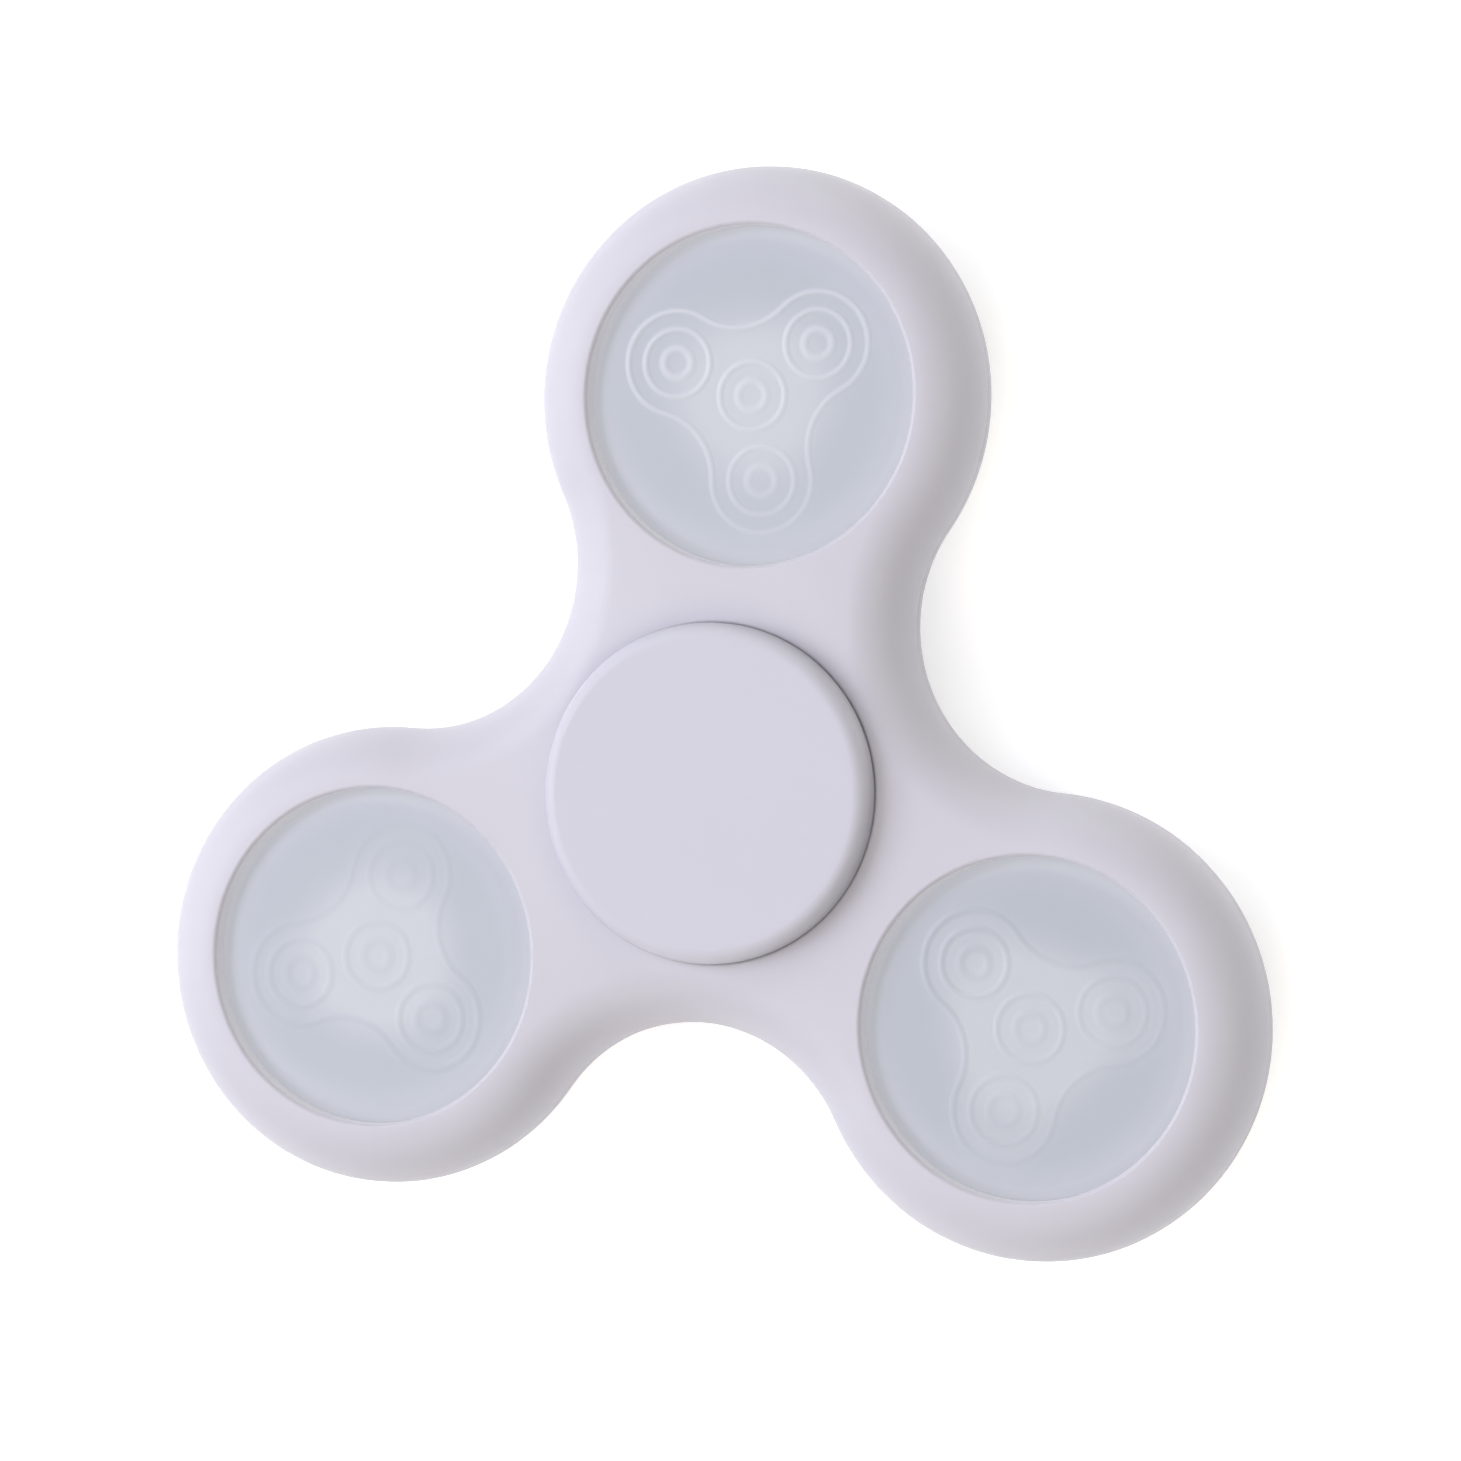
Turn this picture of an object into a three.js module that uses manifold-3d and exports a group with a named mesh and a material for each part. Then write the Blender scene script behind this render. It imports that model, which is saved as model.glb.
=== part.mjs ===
// A three-lobed fidget spinner with lights: a ball bearing between two thumb caps, and a light pod in
// each lobe that is switched by pressing its frosted cap. Millimetres, with +Z along the spin axis.
// The origin is the centre of the rear thumb cap's outer face.
import * as THREE from "three";
import { mergeVertices } from "three/addons/utils/BufferGeometryUtils.js";
import Module from "manifold-3d";

const wasm = await Module();
wasm.setup();

// ---- Driving dimensions ----

// Body. Six circles make its outline, three lobes and three waists, and each one's centre lies
// LOBE_PITCH from the axis.
const LOBE_PITCH = 26;
const LOBE_R = 15.15;
const WAIST_R = LOBE_PITCH - LOBE_R;
const BODY_THICK = 8;
const EDGE_ROUND = 3.8; // nearly half the thickness, so the rim reads as a half round
const POD_HOLE_R = 11.1;
const BEARING_SEAT_R = 11;
const HOLE_CHAMFER = 0.1;
const LOBES = { a: 90, b: 210, c: 330 }; // each pod's letter, and its lobe's angle in degrees

// Thumb caps
const CAP_R = 11.1;
const CAP_THICK = 1.6;
const CAP_ROUND = 1;
const CAP_GAP = 0.2; // between a cap and the body's face
const CAP_BOSS_R = 5.6;
const CAP_BOSS_GAP = 0.01; // between the boss and the bearing's inner ring
const STEM_R = 3.9;
const STEM_END_GAP = 0.2; // from a stem's end to the middle of the body
const MID_Z = CAP_THICK + CAP_GAP + BODY_THICK / 2;

// Bearing: 8 x 22 x 7 mm, open, with seven balls
const BEARING_WIDTH = 7;
const BEARING_BORE_R = 4;
const RING_FIT = 0.03; // between the outer ring and its seat
const BALL_COUNT = 7;
const BALL_R = 3.969 / 2;
const BALL_PITCH_R = 7.5;
const RACE_R = 2.06; // radius of the grooves that the balls run in
const LAND_REACH = 1.45; // from the ball circle to each ring's land
const RING_CHAMFER = 0.3;
const CAGE_HALF_WALL = 0.75;
const CAGE_BOTTOM = -2.6;
const CAGE_TOP = 1.1;
const POCKET_R = 2.12;

// Light pod. Heights are measured from the middle of the body's thickness.
const FACE = BODY_THICK / 2;
const LENS_R = 10.95;
const LENS_RIM_TOP = FACE - 1.5;
const LENS_BEVEL = 2;
const LENS_BEVEL_RISE = 0.35;
const LENS_BEVEL_BULGE = 0.7; // share of the rise that the bevel makes in its outer half
const LENS_DOME_RISE = 0.1;
const LENS_UNDERSIDE = 1.75;
const LENS_SKIRT_BOTTOM = 0.3;
const LENS_SKIRT_INNER_R = 10.2;
const PRESS_TRAVEL = 0.3;
const SNAP_BEAD_R = 9.95; // the lens's inner bead hooks under the case's lip
const SNAP_LIP_R = 10.05;
const SNAP_LIP_UNDERSIDE = 1;
const SNAP_LIP_TAPER = 0.1;
const SNAP_SLOPE = 0.05; // how much lower the bead's inner edge is than its outer one
const CASE_R = 11.03;
const CASE_BOTTOM = -FACE + 0.1;
const CASE_SHOULDER = LENS_SKIRT_BOTTOM - PRESS_TRAVEL - 0.1;
const CASE_COLLAR_R = 9.85;
const CASE_COLLAR_TOP = LENS_UNDERSIDE - PRESS_TRAVEL - 0.15;
const BOARD_THICK = 0.8;
const BOARD_TOP = 0.5;
const BOARD_BOTTOM = BOARD_TOP - BOARD_THICK;
const BOARD_R = 9.05;
const STACK_GAP = 0.03; // between pieces that rest on each other
const CELL_R = 3.4;
const CELL_THICK = 2.6;
const CELL_LID_R = 2.9;
const CELL_LID_RISE = 0.3;
const CELL_PITCH_R = 5.15;
const CELL_ANGLES = [90, 210, 330]; // the lights stand over the cells, at the same angles
const CELL_TOP = BOARD_BOTTOM - 0.05;
const CELL_BOTTOM = CELL_TOP - CELL_THICK;
const CONTACT_THICK = 0.15;
const CONTACT_WIDTH = 1.8;
const CONTACT_OVERRUN = 12; // degrees that a strip runs past a cell's centre
const TAB_ANGLE = 51; // degrees from the last cell to the tab that rises to the board
const TAB_REACH = 8.2;
const TAB_WIDTH = 1.2;
const CONTACT_TOP = CELL_BOTTOM - STACK_GAP;
const CONTACT_BOTTOM = CONTACT_TOP - CONTACT_THICK;
const COVER_TOP = CONTACT_BOTTOM - STACK_GAP;
const COVER_BOTTOM = -FACE + 0.2;
const COVER_R = 10.05;
const COVER_SEAT_R = 10.2;
const COVER_CHAMFER = 0.15;
const COVER_FLOOR_TOP = COVER_BOTTOM + 1; // where the cover rises round its screw
const COVER_HOLE_R = 0.85;
const CASE_INNER_R = 8.75;
const BOARD_SEAT_R = 9.2;
const SPOKE_ANGLES = [30, 150, 270];
const SPOKE_WIDTH = 0.8;
const SPOKE_HEIGHT = 2.2;
const SPOKE_TOP = BOARD_BOTTOM - 0.05;
const BOSS_R = 1.6;
const BOSS_HEIGHT = 2.4;
const SCREW_HEAD_R = 1.4;
const SCREW_HEAD_SEAT_R = 1.55;
const SCREW_HEAD_BOTTOM = COVER_BOTTOM + 0.08;
const SCREW_HEAD_TOP = COVER_BOTTOM + 0.53;
const SCREW_SEAT_TOP = COVER_BOTTOM + 0.55;
const SCREW_HEAD_CHAMFER = 0.2;
const SCREW_SLOT = { length: 1.7, width: 0.35, depth: 0.2 };
const SCREW_SHANK_R = 0.68;
const SCREW_TIP = BOARD_BOTTOM - 0.6;
const SCREW_POINT = 0.3;
const SCREW_HOLE_R = 0.76;
const SCREW_HOLE_END = BOARD_BOTTOM - 0.4;
const SWITCH_SIZE = 3;
const SWITCH_TOP = 1.25;
const PLUNGER_R = 0.75;
const PLUNGER_CLEARANCE = 0.1;
const PLUNGER_REST = 0.17; // the plunger's foot above the board when it is pressed fully
const LED_PITCH_R = 5.6;
const LED_BASE = { width: 2, depth: 1.3, top: 0.4 };
const LED_WINDOW = { width: 1.3, depth: 1, top: 0.65 };
const CONTROLLER = { r: 1.7, shoulderR: 1.5, shoulder: 0.3, top: 0.55, angle: 30 };
const RESISTOR = { width: 0.8, depth: 1.6, top: 0.45, offset: 1, angle: 150 };
const SOLDER_GAP = 0.02; // between the board and what stands on it

const SINK = 0.1; // how far pieces that are joined run into each other
const OVERSHOOT = 1; // how far a cutting tool runs past the face it cuts

// How many flats stand for a full circle
const ROUND_LARGE = 36;
const ROUND_MEDIUM = 24;
const ROUND_SMALL = 16;
const ROUND_TINY = 12;
const LOBE_STEPS = 16; // along a lobe's 240 degrees
const WAIST_STEPS = 7; // along a waist's 120 degrees
const EDGE_STEPS = 4;
const CAP_ROUND_STEPS = 3;
const RACE_STEPS = 5;
const STRIP_STEPS = 6;

// ---- Materials ----

function finish(color, roughness, metalness = 0) {
  return new THREE.MeshStandardMaterial({ color, roughness, metalness });
}

const MATERIALS = {
  body: finish(0xe9e6f0, 0.55),
  cap: finish(0xe4e1ec, 0.6),
  lens: finish(0xc9d0dc, 0.35),
  pod: finish(0xe2e2e6, 0.55),
  steel: finish(0xb9bcc2, 0.2, 1),
  cage: finish(0xf0ead8, 0.5),
  board: finish(0x2c6b45, 0.5),
  redLed: finish(0xf2cfc8, 0.2),
  greenLed: finish(0xd4f0d0, 0.2),
  blueLed: finish(0xcfdcf5, 0.2),
  switch: finish(0x2a2a2e, 0.5),
  plunger: finish(0xd8d0c0, 0.5),
  cell: finish(0xc4c6ca, 0.3, 1),
  brass: finish(0xd0a24c, 0.35, 1),
  screw: finish(0x9a9da3, 0.3, 1),
};

// ---- Shapes ----

const radians = THREE.MathUtils.degToRad;

// A closed geometry as a solid that can be joined and cut.
function solid(geometry) {
  const bare = geometry.clone();
  bare.deleteAttribute("normal");
  bare.deleteAttribute("uv");
  const merged = mergeVertices(bare);
  const corners = merged.index.array;
  const kept = [];
  for (let i = 0; i < corners.length; i += 3) {
    const [a, b, c] = corners.slice(i, i + 3);
    if (a !== b && b !== c && c !== a) kept.push(a, b, c);
  }
  const vertProperties = merged.attributes.position.array;
  return new wasm.Manifold(new wasm.Mesh({ numProp: 3, vertProperties, triVerts: new Uint32Array(kept) }));
}

// A joined or cut solid as a geometry again.
function geometryOf(made) {
  const { vertProperties, triVerts } = made.getMesh();
  const geometry = new THREE.BufferGeometry();
  geometry.setAttribute("position", new THREE.BufferAttribute(vertProperties, 3));
  geometry.setIndex(new THREE.BufferAttribute(triVerts, 1));
  return geometry;
}

function joined(first, ...others) {
  return geometryOf(others.reduce((whole, piece) => whole.add(solid(piece)), solid(first)));
}

function cut(first, ...tools) {
  return geometryOf(tools.reduce((whole, tool) => whole.subtract(solid(tool)), solid(first)));
}

// A profile of [radius, height] points turned about the Z axis. A ring's profile closes on its first point.
function turned(profile, segments) {
  const points = profile.map(([r, z]) => new THREE.Vector2(r, z));
  return new THREE.LatheGeometry(points, segments).rotateX(Math.PI / 2);
}

function ring(profile, segments) {
  return turned([...profile, profile[0]], segments);
}

function disc(r, bottom, top, segments) {
  return turned([[0, bottom], [r, bottom], [r, top], [0, top]], segments);
}

function block(width, depth, bottom, top) {
  return new THREE.BoxGeometry(width, depth, top - bottom).translate(0, 0, (top + bottom) / 2);
}

// Points along an arc, from one angle to another in degrees, both ends included.
function arc(x, y, r, from, to, steps) {
  return Array.from({ length: steps + 1 }, (_, i) => {
    const angle = radians(from + ((to - from) * i) / steps);
    return [x + r * Math.cos(angle), y + r * Math.sin(angle)];
  });
}

const flipped = (profile) => profile.map(([r, z]) => [r, -z]).reverse();

// ---- Body ----

// Round each lobe, then back round the waist that follows it.
function bodyOutline() {
  const points = [];
  for (const angle of Object.values(LOBES)) {
    const lobe = [LOBE_PITCH * Math.cos(radians(angle)), LOBE_PITCH * Math.sin(radians(angle))];
    const next = radians(angle + 60);
    const waist = [LOBE_PITCH * Math.cos(next), LOBE_PITCH * Math.sin(next)];
    points.push(...arc(...lobe, LOBE_R, angle - 120, angle + 120, LOBE_STEPS).slice(0, -1));
    points.push(...arc(...waist, WAIST_R, angle - 60, angle - 180, WAIST_STEPS).slice(0, -1));
  }
  return new THREE.Shape(points.map(([x, y]) => new THREE.Vector2(x, y)));
}

// The tool for a through hole with a small chamfer at each face.
function holeTool(r) {
  const mouth = r + HOLE_CHAMFER;
  const end = -FACE - OVERSHOOT;
  const lower = [[0, end], [mouth, end], [mouth, -FACE], [r, -FACE + HOLE_CHAMFER]];
  return turned([...lower, ...flipped(lower)], ROUND_LARGE);
}

function bodyShell() {
  const depth = BODY_THICK - 2 * EDGE_ROUND;
  const blank = new THREE.ExtrudeGeometry(bodyOutline(), {
    depth,
    bevelThickness: EDGE_ROUND,
    bevelSize: EDGE_ROUND,
    bevelOffset: -EDGE_ROUND,
    bevelSegments: EDGE_STEPS,
  }).translate(0, 0, -depth / 2);
  const podHoles = Object.values(LOBES).map((angle) =>
    holeTool(POD_HOLE_R).translate(0, LOBE_PITCH, 0).rotateZ(radians(angle - 90)),
  );
  return cut(blank, holeTool(BEARING_SEAT_R), ...podHoles);
}

// ---- Thumb caps ----

// The rear cap, whose stem points up from the origin. The front cap is the same piece turned over.
function thumbCap() {
  const bossTop = MID_Z - BEARING_WIDTH / 2 - CAP_BOSS_GAP;
  const profile = [
    [0, 0],
    ...arc(CAP_R - CAP_ROUND, CAP_ROUND, CAP_ROUND, -90, 0, CAP_ROUND_STEPS),
    [CAP_R, CAP_THICK],
    [CAP_BOSS_R, CAP_THICK],
    [CAP_BOSS_R, bossTop],
    [STEM_R, bossTop],
    [STEM_R, MID_Z - STEM_END_GAP],
    [0, MID_Z - STEM_END_GAP],
  ];
  return turned(profile, ROUND_LARGE);
}

// ---- Bearing ----

const RACE_ANGLE = THREE.MathUtils.radToDeg(Math.acos(LAND_REACH / RACE_R));

function outerRing() {
  const half = BEARING_WIDTH / 2;
  const outside = BEARING_SEAT_R - RING_FIT;
  const profile = [
    [BALL_PITCH_R + LAND_REACH, -half],
    [outside - RING_CHAMFER, -half],
    [outside, -half + RING_CHAMFER],
    [outside, half - RING_CHAMFER],
    [outside - RING_CHAMFER, half],
    [BALL_PITCH_R + LAND_REACH, half],
    ...arc(BALL_PITCH_R, 0, RACE_R, RACE_ANGLE, -RACE_ANGLE, RACE_STEPS),
  ];
  return ring(profile, ROUND_LARGE);
}

function innerRing() {
  const half = BEARING_WIDTH / 2;
  const profile = [
    [BEARING_BORE_R + RING_CHAMFER, -half],
    [BALL_PITCH_R - LAND_REACH, -half],
    ...arc(BALL_PITCH_R, 0, RACE_R, 180 + RACE_ANGLE, 180 - RACE_ANGLE, RACE_STEPS),
    [BALL_PITCH_R - LAND_REACH, half],
    [BEARING_BORE_R + RING_CHAMFER, half],
    [BEARING_BORE_R, half - RING_CHAMFER],
    [BEARING_BORE_R, -half + RING_CHAMFER],
  ];
  return ring(profile, ROUND_MEDIUM);
}

const ballAngles = Array.from({ length: BALL_COUNT }, (_, i) => radians(90 + (360 / BALL_COUNT) * i));
const ballCentre = (angle) => [BALL_PITCH_R * Math.cos(angle), BALL_PITCH_R * Math.sin(angle), 0];

// One snap-in moulding: a ring with a ball pocket open at the top.
function bearingCage() {
  const inner = BALL_PITCH_R - CAGE_HALF_WALL;
  const outer = BALL_PITCH_R + CAGE_HALF_WALL;
  const blank = ring(
    [[inner, CAGE_BOTTOM], [outer, CAGE_BOTTOM], [outer, CAGE_TOP], [inner, CAGE_TOP]],
    4 * BALL_COUNT,
  );
  const pockets = ballAngles.map((angle) =>
    new THREE.SphereGeometry(POCKET_R, 10, 8).rotateX(Math.PI / 2).translate(...ballCentre(angle)),
  );
  return cut(blank, ...pockets);
}

// ---- Light pod ----

// The frosted cap that is pressed: a low dome on a skirt, with a snap bead inside the skirt.
function lens() {
  const bevelTop = LENS_RIM_TOP + LENS_BEVEL_RISE;
  const profile = [
    [0, LENS_UNDERSIDE],
    [LENS_SKIRT_INNER_R, LENS_UNDERSIDE],
    [LENS_SKIRT_INNER_R, SNAP_LIP_UNDERSIDE - STACK_GAP],
    [SNAP_BEAD_R, SNAP_LIP_UNDERSIDE - STACK_GAP - SNAP_SLOPE],
    [SNAP_BEAD_R, LENS_SKIRT_BOTTOM],
    [LENS_R, LENS_SKIRT_BOTTOM],
    [LENS_R, LENS_RIM_TOP],
    [LENS_R - LENS_BEVEL / 2, LENS_RIM_TOP + LENS_BEVEL_BULGE * LENS_BEVEL_RISE],
    [LENS_R - LENS_BEVEL, bevelTop],
    [0, bevelTop + LENS_DOME_RISE],
  ];
  return turned(profile, ROUND_LARGE);
}

// The pod's frame: a ring pressed into the lobe, with three spokes that carry the screw boss.
function podCase() {
  const wall = ring(
    [
      [COVER_SEAT_R, CASE_BOTTOM],
      [CASE_R, CASE_BOTTOM],
      [CASE_R, CASE_SHOULDER],
      [CASE_COLLAR_R, CASE_SHOULDER],
      [CASE_COLLAR_R, SNAP_LIP_UNDERSIDE - SNAP_SLOPE / 2],
      [SNAP_LIP_R, SNAP_LIP_UNDERSIDE],
      [SNAP_LIP_R - SNAP_LIP_TAPER, CASE_COLLAR_TOP],
      [BOARD_SEAT_R, CASE_COLLAR_TOP],
      [BOARD_SEAT_R, BOARD_BOTTOM - STACK_GAP],
      [CASE_INNER_R, BOARD_BOTTOM - STACK_GAP],
      [CASE_INNER_R, COVER_TOP + STACK_GAP],
      [COVER_SEAT_R, COVER_TOP + STACK_GAP],
    ],
    ROUND_MEDIUM,
  );
  const reach = CASE_INNER_R + SINK;
  const spokes = SPOKE_ANGLES.map((angle) =>
    block(reach, SPOKE_WIDTH, SPOKE_TOP - SPOKE_HEIGHT, SPOKE_TOP)
      .translate(reach / 2, 0, 0)
      .rotateZ(radians(angle)),
  );
  const bossEnd = SPOKE_TOP - BOSS_HEIGHT;
  const whole = joined(wall, ...spokes, disc(BOSS_R, bossEnd, SPOKE_TOP, ROUND_SMALL));
  return cut(whole, disc(SCREW_HOLE_R, bossEnd - OVERSHOOT, SCREW_HOLE_END, ROUND_SMALL));
}

// The round cover over the cells, with a sunk seat for its screw.
function rearCover() {
  const profile = [
    [COVER_HOLE_R, SCREW_SEAT_TOP],
    [SCREW_HEAD_SEAT_R, SCREW_SEAT_TOP],
    [SCREW_HEAD_SEAT_R, COVER_BOTTOM],
    [COVER_R - COVER_CHAMFER, COVER_BOTTOM],
    [COVER_R, COVER_BOTTOM + COVER_CHAMFER],
    [COVER_R, COVER_TOP],
    [BOSS_R, COVER_TOP],
    [BOSS_R, COVER_FLOOR_TOP],
    [COVER_HOLE_R, COVER_FLOOR_TOP],
  ];
  return ring(profile, ROUND_MEDIUM);
}

function coverScrew() {
  const blank = turned(
    [
      [0, SCREW_HEAD_BOTTOM],
      [SCREW_HEAD_R - SCREW_HEAD_CHAMFER, SCREW_HEAD_BOTTOM],
      [SCREW_HEAD_R, SCREW_HEAD_BOTTOM + SCREW_HEAD_CHAMFER],
      [SCREW_HEAD_R, SCREW_HEAD_TOP],
      [SCREW_SHANK_R, SCREW_HEAD_TOP],
      [SCREW_SHANK_R, SCREW_TIP - SCREW_POINT],
      [0, SCREW_TIP],
    ],
    ROUND_TINY,
  );
  const { length, width, depth } = SCREW_SLOT;
  const slots = [0, 90].map((angle) =>
    block(length, width, SCREW_HEAD_BOTTOM - OVERSHOOT, SCREW_HEAD_BOTTOM + depth)
      .rotateZ(radians(angle)),
  );
  return cut(blank, ...slots);
}

// The board, with its moulded-over controller and two chip resistors.
function circuitBoard() {
  const foot = BOARD_TOP - SINK;
  const controller = turned(
    [
      [0, foot],
      [CONTROLLER.r, foot],
      [CONTROLLER.shoulderR, BOARD_TOP + CONTROLLER.shoulder],
      [0, BOARD_TOP + CONTROLLER.top],
    ],
    ROUND_TINY,
  )
    .translate(LED_PITCH_R, 0, 0)
    .rotateZ(radians(CONTROLLER.angle));
  const resistors = [-1, 1].map((side) =>
    block(RESISTOR.width, RESISTOR.depth, foot, BOARD_TOP + RESISTOR.top)
      .translate(LED_PITCH_R, side * RESISTOR.offset, 0)
      .rotateZ(radians(RESISTOR.angle)),
  );
  return joined(disc(BOARD_R, BOARD_BOTTOM, BOARD_TOP, ROUND_MEDIUM), controller, ...resistors);
}

// A light: its base on the board, with a smaller clear window on top.
function led() {
  const bottom = BOARD_TOP + SOLDER_GAP;
  const base = block(LED_BASE.width, LED_BASE.depth, bottom, bottom + LED_BASE.top);
  const windowFoot = bottom + LED_BASE.top - SINK;
  return joined(base, block(LED_WINDOW.width, LED_WINDOW.depth, windowFoot, bottom + LED_WINDOW.top));
}

function switchBody() {
  const bottom = BOARD_TOP + SOLDER_GAP;
  const well = disc(PLUNGER_R + PLUNGER_CLEARANCE, bottom + SINK, SWITCH_TOP + OVERSHOOT, ROUND_TINY);
  return cut(block(SWITCH_SIZE, SWITCH_SIZE, bottom, SWITCH_TOP), well);
}

function switchPlunger() {
  const foot = BOARD_TOP + PLUNGER_REST + PRESS_TRAVEL;
  return disc(PLUNGER_R, foot, LENS_UNDERSIDE - STACK_GAP, ROUND_TINY);
}

// A button cell: the can, and the smaller lid that faces the rear cover.
function buttonCell() {
  const profile = [
    [0, CELL_BOTTOM],
    [CELL_LID_R, CELL_BOTTOM],
    [CELL_LID_R, CELL_BOTTOM + CELL_LID_RISE],
    [CELL_R, CELL_BOTTOM + CELL_LID_RISE],
    [CELL_R, CELL_TOP],
    [0, CELL_TOP],
  ];
  return turned(profile, ROUND_SMALL);
}

// A flat strip that follows the cells' circle from one angle to another.
function contactStrip(from, to) {
  const outer = arc(0, 0, CELL_PITCH_R + CONTACT_WIDTH / 2, from, to, STRIP_STEPS);
  const inner = arc(0, 0, CELL_PITCH_R - CONTACT_WIDTH / 2, to, from, STRIP_STEPS);
  const shape = new THREE.Shape([...outer, ...inner].map(([x, y]) => new THREE.Vector2(x, y)));
  const options = { depth: CONTACT_THICK, bevelEnabled: false };
  return new THREE.ExtrudeGeometry(shape, options).translate(0, 0, CONTACT_BOTTOM);
}

// The last cell's strip, with an arm and a tab that rises past the cells to the board.
function contactEnd() {
  const lastCell = CELL_ANGLES[2];
  const tabAngle = radians(lastCell + TAB_ANGLE);
  const arm = block(TAB_REACH - CELL_PITCH_R, TAB_WIDTH, CONTACT_BOTTOM, CONTACT_TOP)
    .translate((TAB_REACH + CELL_PITCH_R) / 2, 0, 0)
    .rotateZ(tabAngle);
  const tab = block(CONTACT_THICK, TAB_WIDTH, CONTACT_BOTTOM, BOARD_BOTTOM - STACK_GAP)
    .translate(TAB_REACH - CONTACT_THICK / 2, 0, 0)
    .rotateZ(tabAngle);
  return joined(contactStrip(lastCell - CONTACT_OVERRUN, lastCell + TAB_ANGLE), arm, tab);
}

// ---- Assembly ----

const spinner = new THREE.Group();

function add(parent, name, geometry, material) {
  const mesh = new THREE.Mesh(geometry, material);
  mesh.name = name;
  parent.add(mesh);
  return mesh;
}

const middle = new THREE.Group();
middle.position.z = MID_Z;
spinner.add(middle);

add(spinner, "thumb_cap_rear", thumbCap(), MATERIALS.cap);
const frontCap = add(spinner, "thumb_cap_front", thumbCap(), MATERIALS.cap);
frontCap.rotation.x = Math.PI;
frontCap.position.z = 2 * MID_Z;

add(middle, "body_shell", bodyShell(), MATERIALS.body);
add(middle, "bearing_outer_ring", outerRing(), MATERIALS.steel);
add(middle, "bearing_inner_ring", innerRing(), MATERIALS.steel);
add(middle, "bearing_cage", bearingCage(), MATERIALS.cage);
ballAngles.forEach((angle, i) => {
  const geometry = new THREE.SphereGeometry(BALL_R, 10, 6);
  const ball = add(middle, `bearing_ball_${i + 1}`, geometry, MATERIALS.steel);
  ball.position.set(...ballCentre(angle));
  ball.rotation.x = Math.PI / 2;
});

for (const [letter, angle] of Object.entries(LOBES)) {
  const pod = new THREE.Group();
  pod.rotation.z = radians(angle - 90);
  pod.position.set(LOBE_PITCH * Math.cos(radians(angle)), LOBE_PITCH * Math.sin(radians(angle)), 0);
  middle.add(pod);
  add(pod, `lens_${letter}`, lens(), MATERIALS.lens);
  add(pod, `pod_case_${letter}`, podCase(), MATERIALS.pod);
  add(pod, `rear_cover_${letter}`, rearCover(), MATERIALS.pod);
  add(pod, `cover_screw_${letter}`, coverScrew(), MATERIALS.screw);
  add(pod, `circuit_board_${letter}`, circuitBoard(), MATERIALS.board);
  add(pod, `switch_body_${letter}`, switchBody(), MATERIALS.switch);
  add(pod, `switch_plunger_${letter}`, switchPlunger(), MATERIALS.plunger);
  ["red", "green", "blue"].forEach((colour, i) => {
    const light = add(pod, `led_${colour}_${letter}`, led(), MATERIALS[`${colour}Led`]);
    const ledAngle = radians(CELL_ANGLES[i]);
    light.position.set(LED_PITCH_R * Math.cos(ledAngle), LED_PITCH_R * Math.sin(ledAngle), 0);
  });
  CELL_ANGLES.forEach((cellAngle, i) => {
    const cell = add(pod, `cell_${i + 1}_${letter}`, buttonCell(), MATERIALS.cell);
    const along = radians(cellAngle);
    cell.position.set(CELL_PITCH_R * Math.cos(along), CELL_PITCH_R * Math.sin(along), 0);
  });
  const bridge = contactStrip(CELL_ANGLES[0] - CONTACT_OVERRUN, CELL_ANGLES[1] + CONTACT_OVERRUN);
  add(pod, `contact_bridge_${letter}`, bridge, MATERIALS.brass);
  add(pod, `contact_end_${letter}`, contactEnd(), MATERIALS.brass);
}

export default spinner;
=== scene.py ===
"""The looks of a three-lobed light-up fidget spinner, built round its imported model.

Lengths are in millimetres in the row frame, until a mesh or a place is handed to Blender, which
takes metres.
"""

import math

import bmesh
import bpy
from mathutils import Euler, Matrix, Vector
from mathutils.geometry import delaunay_2d_cdt


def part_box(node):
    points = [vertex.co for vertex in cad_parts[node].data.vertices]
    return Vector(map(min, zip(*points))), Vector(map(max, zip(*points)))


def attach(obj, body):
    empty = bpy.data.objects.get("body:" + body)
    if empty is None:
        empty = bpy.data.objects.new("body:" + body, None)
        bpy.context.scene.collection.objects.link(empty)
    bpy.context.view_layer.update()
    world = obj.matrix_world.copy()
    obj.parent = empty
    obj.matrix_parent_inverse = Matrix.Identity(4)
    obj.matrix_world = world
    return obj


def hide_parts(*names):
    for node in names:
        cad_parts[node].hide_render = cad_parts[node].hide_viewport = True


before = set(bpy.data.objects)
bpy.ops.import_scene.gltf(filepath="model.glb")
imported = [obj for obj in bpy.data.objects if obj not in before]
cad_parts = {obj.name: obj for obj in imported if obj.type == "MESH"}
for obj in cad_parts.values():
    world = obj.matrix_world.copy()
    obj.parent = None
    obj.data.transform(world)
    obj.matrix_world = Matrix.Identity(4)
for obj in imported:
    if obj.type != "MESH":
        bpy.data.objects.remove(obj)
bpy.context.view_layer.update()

MM = 0.001


# ---- Sizes ----


def box_mm(node):
    low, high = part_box(node)
    return low / MM, high / MM


def radius_mm(node):
    low, high = box_mm(node)
    return (high.x - low.x) / 2


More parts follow.
